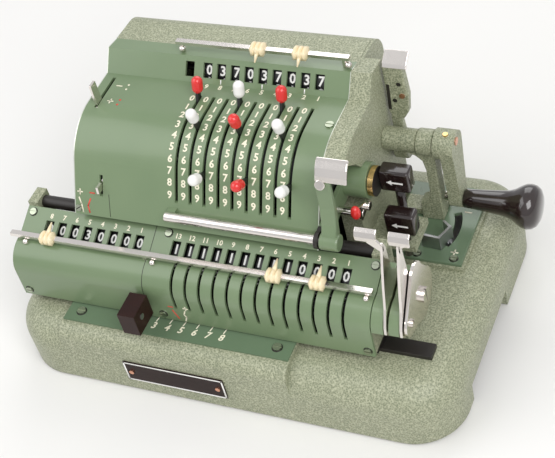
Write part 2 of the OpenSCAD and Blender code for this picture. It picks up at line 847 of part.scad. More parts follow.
module zero_side_plate() {
  right = zero_plate_x + zero_plate_w;
  color(nickel)
    difference() {
      union() {
        rod_x(zero_plate_x, right, dial_y, dial_z, 14.5);
        rod_x(zero_plate_x, right, dial_y - 3, dial_z + 18, 7);
        rod_x(zero_plate_x, right, zero_tip[0], zero_tip[1], 7);
        along_x(zero_plate_x, right)
          polygon([[dial_y + 3.8, dial_z + 19], [dial_y + 13.5, dial_z + 5.2], [dial_y + 4, dial_z - 13.9],
                   [zero_tip[0] - 1.5, zero_tip[1] - 6.8], [zero_tip[0] - 4.5, zero_tip[1] + 5.3],
                   [dial_y - 8.4, dial_z + 22.3]]);
      }
      rod_x(zero_plate_x - 1, right + 1, dial_y, dial_z, axle_r);
    }
}

// One numeral dial with its toothed flange
module numeral_dial(x, y, z, r, w, bore) {
  difference() {
    rod_x(x - w / 2, x + w / 2, y, z, r);
    rod_x(x - w, x + w, y, z, bore);
  }
}

module result_dials() {
  color(dial_black)
    for (column = [1 : result_columns])
      numeral_dial(result_x(column), dial_y, dial_z, dial_r, dial_w, axle_r + fit);
}

module counter_dials() {
  color(dial_black)
    for (column = [1 : counter_columns])
      numeral_dial(counter_x(column), dial_y, dial_z, dial_r, dial_w, axle_r + fit);
}

// Toothed wheels turned with a fingertip through the carriage slots
module finger_wheels() {
  teeth = 18;
  color(dial_black)
    for (column = [1 : result_columns])
      difference() {
        along_x(result_x(column) + thumb_side - thumb_w / 2, result_x(column) + thumb_side + thumb_w / 2)
          translate([thumb_y, thumb_z])
            polygon([for (k = [0 : 2 * teeth - 1])
              (thumb_r - (k % 2) * 0.9) * [cos(k * 180 / teeth), sin(k * 180 / teeth)]]);
        rod_x(result_x(column), result_x(column) + pitch, thumb_y, thumb_z, axle_r + fit);
      }
}

// Zeroing lever: a blade on the dial axle with a finger tab bent to the left
module zero_lever(x, tab_left, tab_right) {
  w = 2.2;
  hub_w = 4;
  front = dial_y - 11.5;
  back = dial_y - 7;
  top = dial_z + 45;
  difference() {
    union() {
      rod_x(x, x + hub_w, dial_y, dial_z, 5);
      along_x(x, x + w)
        polygon([[dial_y - 15, dial_z - 16], [dial_y - 9, dial_z - 19], [dial_y + 5, dial_z - 3],
                 [dial_y + 5, dial_z + 6], [back, dial_z + 22], [back, top],
                 [front, top], [front, dial_z + 22], [dial_y - 13, dial_z + 6]]);
      translate([tab_left, front - 0.5, top - 1.5]) rotate([-30, 0, 0])
        cube([tab_right - tab_left, 1.8, 8]);
    }
    rod_x(x - 1, x + hub_w + 1, dial_y, dial_z, axle_r + fit);
  }
}

module result_zero_lever() {
  x = carriage_right + 2.5;
  color(nickel) zero_lever(x, x - 10, x + 2.2);
}

module counter_zero_lever() {
  x = carriage_right + 11;
  color(nickel) zero_lever(x, x - 0.5, x + 11);
}

module clear_lever() {
  tab_w = 16.5;
  tab_l = 14;
  color(nickel) {
    rod_x(bar_left, bar_hub_x + 4, bar_y, bar_z, bar_r);
    rod_x(bar_hub_x, bar_hub_x + bar_hub_w, bar_y, bar_z, bar_hub_r);
    along_x(bar_hub_x + 1, bar_hub_x + bar_hub_w - 1)
      polygon([[bar_y - 3.4, bar_z], [bar_y + 1.5, bar_z + 10], [bar_y + 3.5, bar_z + 20],
               [bar_y + 4, bar_z + 34], [bar_y + 8.5, bar_z + 36], [bar_y + 7.5, bar_z + 20],
               [bar_y + 6, bar_z + 10], [bar_y + 4, bar_z]]);
    translate([bar_hub_x + 0.4, bar_y + 3.5, bar_z + 33]) rotate([-38, 0, 0]) {
      cube([tab_w, 1.8, tab_l]);
      translate([0, -2.5, tab_l - 1.6]) cube([tab_w, 3, 1.6]);
    }
  }
}

module key(place) {
  color(bakelite) {
    translate([place[0] - key_size[0] / 2, place[1] - key_size[1] / 2, place[2] - key_size[2] / 2])
      cube(key_size);
    translate([place[0], place[1], key_plate_z - 7])
      cylinder(r = key_stem_r, h = place[2] - key_plate_z + 2);
  }
}

module shift_key_rear() {
  key(key_rear);
}

module shift_key_front() {
  key(key_front);
}

module stop_lever() {
  knob = 3.2;
  t = 1.8;
  color(nickel) {
    rod_x(cast_left, stop_x + 2, stop_y, stop_z, stop_r);
    along_x(stop_x, stop_x + t)
      polygon([[stop_y - 2.4, stop_z - 3.4], [stop_y + 3.4, stop_z - 2], [stop_y + 2, stop_z + 4],
               [stop_y - 5.6, stop_z + 8.6], [stop_y - 8.4, stop_z + 5.4]]);
    translate([stop_x + t / 2, stop_y - 6.6, stop_z + 6.8]) sphere(knob);
  }
}

module back_lever() {
  half = 2.4;
  right = back_x + back_w;
  color(hammer_green)
    difference() {
      union() {
        rod_x(back_x, right, back_y, back_z, back_pin_r + 3.5);
        translate([0, back_y + half, back_z]) rotate([90, 0, 0]) linear_extrude(2 * half)
          polygon([[back_x + 0.2, 0], [back_x + 0.2, 54], [back_x + 5, 54], [back_x + 9.3, 48],
                   [back_x + 9.6, 37], [back_x + 4.6, 20], [right - 0.2, 6], [right - 0.2, 0]]);
        translate([back_x + 2.2, back_y - 1, back_z + 52]) rotate([-20, 0, 0]) cube([13.4, 1.6, 12]);
      }
      rod_x(back_x - 1, right + 1, back_y, back_z, back_pin_r + fit);
    }
}

// Lever ring on the main shaft with an arm at an angle from the level
module shaft_arm(x, angle, reach, root_w, tip_w, t) {
  difference() {
    union() {
      rod_x(x - 1.2, x + 1.2, main_y, main_z, main_r + 4);
      about_shaft(x - t / 2, main_y, main_z, angle)
        along_x(0, t)
          polygon([[-root_w / 2, 0], [root_w / 2, 0], [tip_w / 2, reach], [-tip_w / 2, reach]]);
    }
    rod_x(x - 2, x + 2, main_y, main_z, main_r + fit);
  }
}

module sign_lever() {
  color(nickel)
    shaft_arm(sign_x, 90, cover_r + 13, 8, 5, 1.4);
}

module counter_lever() {
  color(nickel)
    shaft_arm(counter_lever_x, counter_angle, cover_r + 7, 6, 4, 1.4);
}

module setting_lever(column) {
  angle = lever_zero + digit_step * rest_digits[column - 1];
  stem = 1.4;
  half = 1.75;
  color(column == 9 || (column >= 3 && column <= 5) ? knob_red : knob_white) {
    shaft_arm(lever_x(column), angle, knob_at - half, 7, 3, stem);
    about_shaft(lever_x(column), main_y, main_z, angle) {
      translate([0, 0, knob_at - half]) sphere(knob_r);
      translate([0, 0, knob_at - half]) cylinder(r = knob_r, h = 2 * half);
      translate([0, 0, knob_at + half]) sphere(knob_r);
    }
  }
}

module check_dial(column) {
  color(dial_black)
    numeral_dial(check_x(column), check_y, check_z, check_r, check_w, check_axle_r + fit);
}

module mode_lever() {
  tab_h = 9;
  arm_z = deck_z - deck_h - 3;
  corners = [[swing_r - 9.4, -9.1], [swing_r - 0.5, -6.9], [swing_r + 0.1, 2.6], [swing_r - 4.9, 4.3]];
  color(nickel)
    translate([swing[0], swing[1], 0]) {
      translate([0, 0, arm_z]) cylinder(r = 3, h = deck_z - arm_z - 0.2);
      rotate([0, 0, swing_rest]) {
        translate([0, -2.4, arm_z]) cube([swing_r + 2.6, 4.8, 2]);
        translate([swing_r, 0, arm_z]) cylinder(r = swing_slot / 2 - 0.3, h = deck_z - arm_z + 1);
        translate([0, 0, deck_z + 0.4])
          for (k = [0 : 2])
            strip(corners[k], corners[k + 1], tab_h);
      }
    }
}

// Upright sheet-metal strip between two plan points
module strip(from, to, h) {
  t = 1.4;
  run = to - from;
  translate([from[0], from[1], 0]) rotate([0, 0, atan2(run[1], run[0])])
    translate([-t / 2, -t / 2, 0]) cube([norm(run) + t, t, h]);
}

module shift_handle() {
  back = carriage_front - 3;
  color(bakelite) {
    box(handle_x - handle_w / 2, handle_x + handle_w / 2, back - handle_d, back, handle_low, handle_high);
    translate([handle_stem_x, back - 1, handle_z]) rotate([-90, 0, 0]) cylinder(r = handle_stem_r, h = 9);
  }
}

base();
rubber_feet();
front_plates();
deck_plate();
side_frames();
cross_rods();
setting_cover();
rear_cover();
side_casting();
frame_screws();
top_rail();
crank_bracket();
carriage_track();
main_shaft();
actuator_wheels();
crank_shaft();
crank_arm();
crank_grip();
carriage_bed();
carriage_ends();
counter_cover();
result_cover();
carriage_screws();
carriage_rail();
carriage_shafts();
zero_side_plate();
result_dials();
counter_dials();
finger_wheels();
result_zero_lever();
counter_zero_lever();
clear_lever();
shift_key_rear();
shift_key_front();
stop_lever();
back_lever();
sign_lever();
counter_lever();
mode_lever();
shift_handle();
top_markers();
carriage_markers();
for (column = [1 : setting_columns]) {
  setting_lever(column);
  check_dial(column);
}
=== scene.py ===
import math

import bmesh
import bpy
from mathutils import Matrix, Vector


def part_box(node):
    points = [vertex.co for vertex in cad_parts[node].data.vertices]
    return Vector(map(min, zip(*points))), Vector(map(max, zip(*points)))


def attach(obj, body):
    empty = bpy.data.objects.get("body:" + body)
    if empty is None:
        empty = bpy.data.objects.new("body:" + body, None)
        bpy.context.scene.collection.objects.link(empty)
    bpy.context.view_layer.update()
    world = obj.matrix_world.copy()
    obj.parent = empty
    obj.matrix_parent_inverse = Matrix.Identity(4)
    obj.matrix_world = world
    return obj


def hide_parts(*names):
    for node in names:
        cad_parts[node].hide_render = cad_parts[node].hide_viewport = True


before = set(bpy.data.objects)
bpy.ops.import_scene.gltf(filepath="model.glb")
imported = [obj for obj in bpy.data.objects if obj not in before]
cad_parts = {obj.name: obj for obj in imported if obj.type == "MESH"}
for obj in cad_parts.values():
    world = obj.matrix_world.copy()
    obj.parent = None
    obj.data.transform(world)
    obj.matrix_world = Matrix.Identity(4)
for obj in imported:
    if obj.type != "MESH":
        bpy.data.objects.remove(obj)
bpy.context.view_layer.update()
MM = 0.001

# Places and sizes of the machine, in millimetres and degrees. Pairs are (Y, Z)
PITCH = 8.0
COLUMNS = 9
MAIN = Vector((7.5, 96.0))
CRANK = Vector((39.5, 96.0))
DIAL = Vector((-35.5, 65.0))
CHECK = Vector((44.6505, 126.4774))
FINGER_AXLE = Vector((-49.0, 61.5))
CLEAR_SHAFT = Vector((-35.6, 94.3))
STOP_PIVOT = Vector((-10.0, 90.0))
STOP_KNOB = Vector((-16.6, 96.8))
BACK_PIVOT = Vector((50.2, 82.0))
BACK_FRONT = 47.8
LEVER_X1 = 29.5
COVER_R = 32.6
COVER_TOP = 128.6
COVER_LEFT = -96.2
COVER_RIGHT = 45.6
SKIRT_TURN = 149.5
PANEL_ANGLE = 52.0
PANEL_FOOT = 30.7
WINDOW_SHIFT = 0.5
REGISTER_GAP = 22
RESULT_X1 = LEVER_X1 - WINDOW_SHIFT + 4 * PITCH
COUNTER_X1 = RESULT_X1 - 12 * PITCH - REGISTER_GAP
CHECK_SHIFT = 0.6
DIAL_R = 11.0
CHECK_R = 10.0
DIAL_WINDOW = 117.1
DIAL_STEP = 36
CARRIAGE_FRONT = -62.5
CARRIAGE_R = 13.5
CARRIAGE_SEAM = COUNTER_X1 + PITCH
CROWN_Z = 75.0
BROW_Y = -47.5
BROW_BACK = -32.0
BROW_RISE = 7.2
BROW_ANGLE = math.degrees(math.atan(BROW_RISE / (BROW_BACK - BROW_Y)))
LEVER_ZERO = 71.5
DIGIT_STEP = 11.0
REST_DIGITS = [7, 3, 0, 7, 3, 0, 7, 3, 0]
RESULT_SHOWN = [0, 0, 0, 0, 1, 1, 1, 1, 1, 1, 1, 1, 1]
COUNTER_SHOWN = [0, 0, 0, 0, 3, 0, 0, 0]
KEY_PLACES = {"shift_key_rear": Vector((72.5, 13.0, 96.0)), "shift_key_front": Vector((76.5, 1.5, 77.0))}
KEY_FACE = 5.5
HUB_R = 8.2
HUB_RIGHT = 96.2
GRIP_X = 96.5
GRIP_Z = 57.5
PLATE_TOP = 42.0

# Sizes of the painted marks, in millimetres
MARK_LIFT = 0.04
MARK_DEPTH = 0.1
DIGIT_DEPTH = 0.08
BOLD = 0.024
STROKE = 0.7
LEAD = 0.8
SETTING_DIGIT = 5.6
COLUMN_NUMBER = 4.4
DIAL_DIGIT = 7.2
WINDOW_NUMBER = 3.9
SCALE_DIGIT = 5.8

# Where a node changes from one finish to another, in millimetres
LEFT_FRAME_X = -93.6
KNOB_FOOT_R = 38.2
COVER_LIP_LEFT = COVER_LEFT + 0.5
COVER_LIP_RIGHT = COVER_RIGHT - 0.4
BARE_PLATE_CEILING = 36.0
DRUM_SKIN = 9.7
EAR_BACK = 1.0
EAR_LOW = 83.0
EAR_HIGH = 103.5
EAR_TIP = -30.2
RATCHET_LEFT = 60.9
RATCHET_RIGHT = 63.9
ARM_PIN_RIGHT = 89.1
ARM_PIN_CEILING = 75.0
SPINDLE_LEFT = HUB_RIGHT + 0.1
RIVET_Y = -82.6
SIDE_SCREW_X = 90.0

# Camera solved from the photograph, in metres, and the lamps: place, size and power
CAMERA_PLACE = Vector((0.29859, -0.45525, 0.59320))
CAMERA_RIGHT = Vector((0.91140884, 0.3619986, -0.19568071))
CAMERA_UP = Vector((-0.13798858, 0.71685109, 0.6834352))
CAMERA_LENS = 91.51
LAMP_AIM = Vector((0, 0, 0.06))
LAMPS = {
    "key_lamp": ((0.75, -0.65, 1.1), 0.9, 13.0),
    "fill_lamp": ((-0.8, -0.4, 0.9), 1.0, 6.0),
    "back_lamp": ((-0.1, 1.0, 0.9), 0.9, 5.0),
}


class Value:
    """A shader socket that takes arithmetic and adds the Math nodes for it."""

    def __init__(self, nodes, socket):
        self.nodes = nodes
        self.socket = socket

    def _math(self, operation, a, b):
        node = self.nodes.node("ShaderNodeMath", {"operation": operation}, {0: a, 1: b})
        return Value(self.nodes, node.outputs[0])

    def __add__(self, other):
        return self._math("ADD", self, other)

    def __radd__(self, other):
        return self._math("ADD", other, self)

    def __sub__(self, other):
        return self._math("SUBTRACT", self, other)

    def __rsub__(self, other):
        return self._math("SUBTRACT", other, self)

    def __mul__(self, other):
        return self._math("MULTIPLY", self, other)

    def __rmul__(self, other):
        return self._math("MULTIPLY", other, self)

    def __gt__(self, other):
        return self._math("GREATER_THAN", self, other)

    def __lt__(self, other):
        return self._math("LESS_THAN", self, other)


class Nodes:
    """A node tree and the one way nodes are added to it."""

    def __init__(self, tree):
        self.tree = tree

    def node(self, kind, settings=None, sockets=None):
        node = self.tree.nodes.new(kind)
        for key, value in (settings or {}).items():
            setattr(node, key, value)
        for key, value in (sockets or {}).items():
            self.set(node.inputs[key], value)
        return node

    def set(self, socket, value):
        if isinstance(value, Value):
            value = value.socket
        if isinstance(value, bpy.types.NodeSocket):
            self.tree.links.new(value, socket)
        elif socket.type == "RGBA" and len(value) == 3:
            socket.default_value = (*value, 1.0)
        else:
            socket.default_value = value


class Finish(Nodes):
    """A material and the nodes that make it."""

    def __init__(self, name):
        self.material = bpy.data.materials.new(name)
        self.material.use_nodes = True
        super().__init__(self.material.node_tree)
        self.shader = self.tree.nodes["Principled BSDF"]
        self.place = self.node("ShaderNodeTexCoord").outputs["Object"]

    def feed(self, **sockets):
        for key, value in sockets.items():
            self.set(self.shader.inputs[key.replace("_", " ")], value)

    def noise(self, scale, detail=3.0, roughness=0.55):
        node = self.node("ShaderNodeTexNoise", None,
                         {"Vector": self.place, "Scale": scale, "Detail": detail,
                          "Roughness": roughness})
        return Value(self, node.outputs["Fac"])

    def cells(self, scale, smooth=0.6):
        node = self.node("ShaderNodeTexVoronoi", {"feature": "SMOOTH_F1"},
                         {"Vector": self.place, "Scale": scale, "Smoothness": smooth})
        return Value(self, node.outputs["Distance"])

    def axes(self):
        node = self.node("ShaderNodeSeparateXYZ", None, {0: self.place})
        return [Value(self, socket) * (1 / MM) for socket in node.outputs]

    def blend(self, factor, first, second):
        node = self.node("ShaderNodeMix", {"data_type": "RGBA"}, {0: factor, 6: first, 7: second})
        return node.outputs[2]

    def bump(self, height):
        node = self.node("ShaderNodeBump", None, {"Height": height, "Strength": 0.6, "Distance": 0.0005})
        self.set(self.shader.inputs["Normal"], node.outputs["Normal"])


class Coat:
    """What one layer of a finish looks like: tone, roughness, metal, gloss and relief."""

    def __init__(self, tone, rough, metal, gloss, height):
        self.tone = tone
        self.rough = rough
        self.metal = metal
        self.gloss = gloss
        self.height = height


def hammered(dark, light):
    """Enamel broken into small dimples."""
    def coat(finish):
        dimples = finish.cells(1150.0)
        grain = finish.noise(1700.0, 3.0)
        drift = finish.noise(16.0, 2.0)
        tone = finish.blend(dimples * 1.35 + grain + drift * 0.3 - 0.82, dark, light)
        return Coat(tone, 0.32 + grain * 0.2, 0.0, 0.0, dimples * 0.6 + grain * 0.4)
    return coat


def enamel(dark, light):
    """Smooth enamel with a faint orange peel and fine dark specks."""
    def coat(finish):
        drift = finish.noise(22.0, 3.0)
        peel = finish.noise(1400.0, 2.0)
        specks = finish.noise(2600.0, 1.0) > 0.79
        tone = finish.blend(specks * 0.3, finish.blend(drift, dark, light), [0.5 * c for c in dark])
        return Coat(tone, 0.23 + drift * 0.14, 0.0, 0.2, peel * 0.05)
    return coat


def metal(bright, dull, rough):
    """Bare or plated metal with fine brushing and dull clouds."""
    def coat(finish):
        brush = finish.noise(1300.0, 4.0)
        clouds = finish.noise(45.0, 2.0)
        return Coat(finish.blend(clouds, bright, dull), rough + brush * 0.14, 1.0, 0.0, brush * 0.02)
    return coat


def plastic(dark, light, rough, gloss):
    """Moulding with a slight swirl in its colour."""
    def coat(finish):
        swirl = finish.noise(130.0, 4.0)
        fine = finish.noise(1500.0, 2.0)
        return Coat(finish.blend(swirl, dark, light), rough + fine * 0.12, 0.0, gloss, swirl * 0.03)
    return coat


def paint(dark, light):
    """Thin filled-in paint of digits and lines."""
    def coat(finish):
        chips = finish.noise(1800.0, 3.0)
        return Coat(finish.blend(chips, dark, light), 0.45 + chips * 0.2, 0.0, 0.0, chips * 0.04)
    return coat


def coated(name, first, *layers, shine=0.5):
    """A finish of one coat, with further coats where their masks say so."""
    finish = Finish(name)
    coat = first(finish)
    axes = finish.axes() if layers else None
    for where, later in layers:
        mask = where(*axes)
        over = later(finish)
        coat = Coat(finish.blend(mask, coat.tone, over.tone),
                    coat.rough + mask * (over.rough - coat.rough),
                    coat.metal + mask * (over.metal - coat.metal),
                    coat.gloss + mask * (over.gloss - coat.gloss),
                    coat.height + mask * (over.height - coat.height))
    finish.feed(Base_Color=coat.tone, Roughness=coat.rough, Metallic=coat.metal, Coat_Weight=coat.gloss,
                Coat_Roughness=0.08, Specular_IOR_Level=shine)
    finish.bump(coat.height)
    return finish.material


def near(centre, radius):
    """Mask of all that lies within a radius of an axis along X."""
    def where(x, y, z):
        across = y - centre.x
        up = z - centre.y
        return across * across + up * up < radius * radius
    return where


HAMMER_COAT = hammered((0.165, 0.19, 0.115), (0.47, 0.48, 0.335))
SATIN_COAT = enamel((0.148, 0.215, 0.114), (0.195, 0.265, 0.146))
PLATE_COAT = enamel((0.115, 0.178, 0.105), (0.148, 0.214, 0.13))
NICKEL_COAT = metal((0.86, 0.81, 0.77), (0.70, 0.66, 0.62), 0.09)
STEEL_COAT = metal((0.50, 0.50, 0.50), (0.36, 0.36, 0.37), 0.25)
BRASS_COAT = metal((0.80, 0.56, 0.24), (0.64, 0.43, 0.18), 0.18)
COPPER_COAT = metal((0.80, 0.42, 0.28), (0.62, 0.30, 0.20), 0.22)
BARE_COAT = metal((0.72, 0.74, 0.66), (0.60, 0.62, 0.54), 0.30)
DARK_COAT = plastic((0.008, 0.007, 0.006), (0.022, 0.017, 0.014), 0.42, 0.05)
BARE_PLATE_COAT = plastic((0.012, 0.006, 0.005), (0.028, 0.013, 0.011), 0.4, 0.0)
SCREW_COAT = metal((0.46, 0.50, 0.39), (0.33, 0.37, 0.28), 0.24)
RED_COAT = plastic((0.66, 0.015, 0.015), (0.80, 0.04, 0.035), 0.18, 0.4)
WHITE_COAT = plastic((0.84, 0.83, 0.80), (0.92, 0.91, 0.89), 0.18, 0.4)
BLACK_STEEL_COAT = metal((0.10, 0.10, 0.10), (0.04, 0.04, 0.042), 0.35)

HAMMER = coated("hammered_green", HAMMER_COAT)
SATIN = coated("satin_green", SATIN_COAT)
PLATE_GREEN = coated("plate_green", PLATE_COAT)
NICKEL = coated("nickel_plate", NICKEL_COAT)
STEEL = coated("machined_steel", STEEL_COAT)
BRASS = coated("brass_fitting", BRASS_COAT)
COPPER = coated("copper_screw", COPPER_COAT)
BAKELITE = coated("dark_bakelite", plastic((0.008, 0.005, 0.005), (0.03, 0.016, 0.014), 0.10, 0.7))
HANDLE_BROWN = coated("brown_bakelite", plastic((0.014, 0.006, 0.005), (0.034, 0.012, 0.009), 0.3, 0.05),
                      shine=0.15)
IVORY = coated("ivory_moulding", plastic((0.86, 0.70, 0.42), (0.93, 0.82, 0.58), 0.28, 0.3))
DIAL_BLACK = coated("dial_enamel", plastic((0.006, 0.006, 0.007), (0.018, 0.018, 0.02), 0.35, 0.1))
DARK_IRON = coated("dark_iron", DARK_COAT)
OILED_STEEL = coated("oiled_steel", BLACK_STEEL_COAT)
FRAME_FINISH = coated("side_frame_finish", BLACK_STEEL_COAT, (lambda x, y, z: x < LEFT_FRAME_X, SATIN_COAT))
RUBBER = coated("foot_rubber", plastic((0.02, 0.02, 0.02), (0.05, 0.05, 0.05), 0.65, 0.0))
RED_BEAD = coated("red_bead", RED_COAT)
KNOB_RED = coated("red_knob", RED_COAT, (near(MAIN, KNOB_FOOT_R), BLACK_STEEL_COAT))
KNOB_WHITE = coated("white_knob", WHITE_COAT, (near(MAIN, KNOB_FOOT_R), BLACK_STEEL_COAT))
CREAM_MARK = coated("cream_marking", paint((0.82, 0.76, 0.56), (0.94, 0.90, 0.74)))
WHITE_MARK = coated("white_marking", paint((0.86, 0.85, 0.82), (0.96, 0.95, 0.93)))
RED_MARK = coated("red_marking", paint((0.62, 0.05, 0.03), (0.80, 0.10, 0.07)))
COVER_GREEN = coated("cover_green", SATIN_COAT,
                     (lambda x, y, z: (x < COVER_LIP_LEFT) + (x > COVER_LIP_RIGHT), BARE_COAT))
FRONT_PLATES = coated("front_plate_enamel", PLATE_COAT,
                      (lambda x, y, z: z < BARE_PLATE_CEILING, BARE_PLATE_COAT), shine=0.2)
CASTING = coated("casting_enamel", HAMMER_COAT, (near(MAIN, DRUM_SKIN), SATIN_COAT),
                 (lambda x, y, z: (y < EAR_BACK) * (z > EAR_LOW) * (z < EAR_HIGH), SATIN_COAT),
                 (lambda x, y, z: y < EAR_TIP, DARK_COAT))
SHAFT_FINISH = coated("shaft_finish", STEEL_COAT, (lambda x, y, z: x > RATCHET_LEFT, BRASS_COAT),
                      (lambda x, y, z: x > RATCHET_RIGHT, DARK_COAT))
ARM_FINISH = coated("crank_arm_finish", HAMMER_COAT,
                    (lambda x, y, z: (x < ARM_PIN_RIGHT) * (z < ARM_PIN_CEILING), NICKEL_COAT),
                    (lambda x, y, z: x > SPINDLE_LEFT, STEEL_COAT))
FRAME_SCREWS = coated("frame_screw_enamel", SCREW_COAT, (lambda x, y, z: y < RIVET_Y, COPPER_COAT))
CARRIAGE_SCREWS = coated("carriage_screw_enamel", SCREW_COAT,
                         (lambda x, y, z: x > SIDE_SCREW_X, NICKEL_COAT))

NODE_FINISHES = {
    HAMMER: ["base", "rear_cover", "crank_bracket", "back_lever"],
    SATIN: ["counter_cover", "result_cover", "carriage_ends"],
    COVER_GREEN: ["setting_cover"],
    PLATE_GREEN: ["deck_plate"],
    FRONT_PLATES: ["front_plates"],
    CASTING: ["side_casting"],
    ARM_FINISH: ["crank_arm"],
    FRAME_SCREWS: ["frame_screws"],
    CARRIAGE_SCREWS: ["carriage_screws"],
    NICKEL: ["top_rail", "carriage_rail", "zero_side_plate", "result_zero_lever",
             "counter_zero_lever", "clear_lever", "stop_lever", "sign_lever", "counter_lever"],
    SHAFT_FINISH: ["main_shaft"],
    STEEL: ["crank_shaft", "mode_lever"],
    FRAME_FINISH: ["side_frames"],
    OILED_STEEL: ["cross_rods", "actuator_wheels"],
    BAKELITE: ["crank_grip", "shift_key_rear", "shift_key_front"],
    HANDLE_BROWN: ["shift_handle"],
    DARK_IRON: ["carriage_track", "carriage_bed", "carriage_shafts"],
    DIAL_BLACK: ["result_dials", "counter_dials", "finger_wheels"]
                + ["check_dial_%d" % k for k in range(1, COLUMNS + 1)],
    IVORY: ["top_markers", "carriage_markers"],
    RUBBER: ["rubber_feet"],
    KNOB_RED: ["setting_lever_%d" % k for k in (3, 4, 5, 9)],
    KNOB_WHITE: ["setting_lever_%d" % k for k in (1, 2, 6, 7, 8)],
}
SOFT_EDGES = {
    "base": 1.2, "side_casting": 1.2, "crank_arm": 1.0, "shift_handle": 0.8, "top_rail": 0.6,
    "carriage_rail": 0.6, "rear_cover": 0.5, "zero_side_plate": 0.4, "deck_plate": 0.3,
    "mode_lever": 0.3, "carriage_track": 0.3, "front_plates": 0.25, "sign_lever": 0.2,
    "crank_shaft": 0.2,
}


def dress_nodes():
    """Gives every CAD node its finish."""
    for finish, names in NODE_FINISHES.items():
        for name in names:
            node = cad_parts[name]
            if not node.material_slots:
                node.data.materials.append(finish)
            for place in node.material_slots:
                place.material = finish


def soften_edges():
    """Takes the sharpness off the CAD nodes' edges with modifiers."""
    for name, width in SOFT_EDGES.items():
        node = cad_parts[name]
        weld = node.modifiers.new("weld", "WELD")
        weld.merge_threshold = 0.00001
        bevel = node.modifiers.new("soft_edges", "BEVEL")
        bevel.width = width * MM
        bevel.segments = 3
        bevel.limit_method = "ANGLE"
        bevel.angle_limit = math.radians(50)
        bevel.harden_normals = False


def make_piece(name, bm, finish, body, smooth=True):
    """Turns a bmesh in millimetres into a piece that rides on a body."""
    bmesh.ops.scale(bm, vec=(MM, MM, MM), verts=bm.verts)
    mesh = bpy.data.meshes.new(name)
    bm.to_mesh(mesh)
    bm.free()
    mesh.materials.append(finish)
    if smooth:
        mesh.shade_smooth()
    else:
        mesh.shade_flat()
    piece = bpy.data.objects.new(name, mesh)
    bpy.context.scene.collection.objects.link(piece)
    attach(piece, body)
    return piece


def text_mesh(text, size):
    """A flat mark centred on the origin, facing +Z, in millimetres."""
    curve = bpy.data.curves.new("mark", "FONT")
    curve.body = text
    curve.size = size
    curve.extrude = DIGIT_DEPTH / 2
    curve.offset = BOLD * size
    curve.resolution_u = 2
    curve.align_x = "CENTER"
    curve.align_y = "CENTER"
    holder = bpy.data.objects.new("mark", curve)
    bpy.context.scene.collection.objects.link(holder)
    scene_state = bpy.context.evaluated_depsgraph_get()
    mesh = bpy.data.meshes.new_from_object(holder.evaluated_get(scene_state))
    bpy.data.objects.remove(holder)
    return mesh


MARK_CACHE = {}


def add_mark(bm, text, size, matrix):
    """A digit, with its mesh made once for each size."""
    if (text, size) not in MARK_CACHE:
        MARK_CACHE[(text, size)] = text_mesh(text, size)
    before = len(bm.verts)
    bm.from_mesh(MARK_CACHE[(text, size)])
    bm.verts.ensure_lookup_table()
    bmesh.ops.transform(bm, matrix=matrix, verts=bm.verts[before:])


def add_bar(bm, size, matrix):
    """A square-edged bar about its own middle."""
    made = bmesh.ops.create_cube(bm, size=1.0)
    bmesh.ops.scale(bm, vec=size, verts=made["verts"])
    bmesh.ops.transform(bm, matrix=matrix, verts=made["verts"])


def add_disc(bm, radius, matrix, height=MARK_DEPTH):
    """A round dot, washer or screw head."""
    bmesh.ops.create_cone(bm, cap_ends=True, segments=20, radius1=radius, radius2=radius,
                          depth=height, matrix=matrix)


def add_ball(bm, radius, place):
    """A plain ball."""
    bmesh.ops.create_uvsphere(bm, u_segments=20, v_segments=12, radius=radius,
                              matrix=Matrix.Translation(place))


def add_rod(bm, x0, x1, centre, radius):
    """A round bar along X about a (Y, Z) centre."""
    bmesh.ops.create_cone(bm, cap_ends=True, segments=32, radius1=radius, radius2=radius, depth=x1 - x0,
                          matrix=facing_right((x0 + x1) / 2, centre.x, centre.y))


def add_oval(bm, segments, rings, size, place):
    """A ball stretched to three half sizes."""
    made = bmesh.ops.create_uvsphere(bm, u_segments=segments, v_segments=rings, radius=1.0)
    bmesh.ops.scale(bm, vec=size, verts=made["verts"])
    bmesh.ops.translate(bm, vec=place, verts=made["verts"])


def add_turned(bm, outline, place, closed=False):
    """A turned piece along X, from an outline of (X, radius) points."""
    points = [bm.verts.new((along, radius, 0.0)) for along, radius in outline]
    ends = points[1:] + points[:1] if closed else points[1:]
    edges = [bm.edges.new(pair) for pair in zip(points, ends)]
    bmesh.ops.spin(bm, geom=points + edges, cent=(0, 0, 0), axis=(1, 0, 0),
                   angle=math.tau, steps=48, use_merge=True)
    bmesh.ops.remove_doubles(bm, verts=bm.verts, dist=0.001)
    bmesh.ops.recalc_face_normals(bm, faces=bm.faces)
    bmesh.ops.translate(bm, vec=place, verts=bm.verts)


def add_plate(bm, outline, start, run):
    """A flat plate: a drawn outline, placed by a function, and given its thickness along a run."""
    face = bm.faces.new([bm.verts.new(start(*point)) for point in outline])
    made = bmesh.ops.extrude_face_region(bm, geom=[face])["geom"]
    corners = [part for part in made if isinstance(part, bmesh.types.BMVert)]
    bmesh.ops.translate(bm, vec=run, verts=corners)
    bmesh.ops.recalc_face_normals(bm, faces=bm.faces)


def side_plate(bm, outline, x0, x1):
    """A plate drawn from the side, with (Y, Z) points."""
    add_plate(bm, outline, lambda y, z: (x0, y, z), (x1 - x0, 0, 0))


def front_plate(bm, outline, y0, y1):
    """A plate drawn from the front, with (X, Z) points."""
    add_plate(bm, outline, lambda x, z: (x, y0, z), (0, y1 - y0, 0))


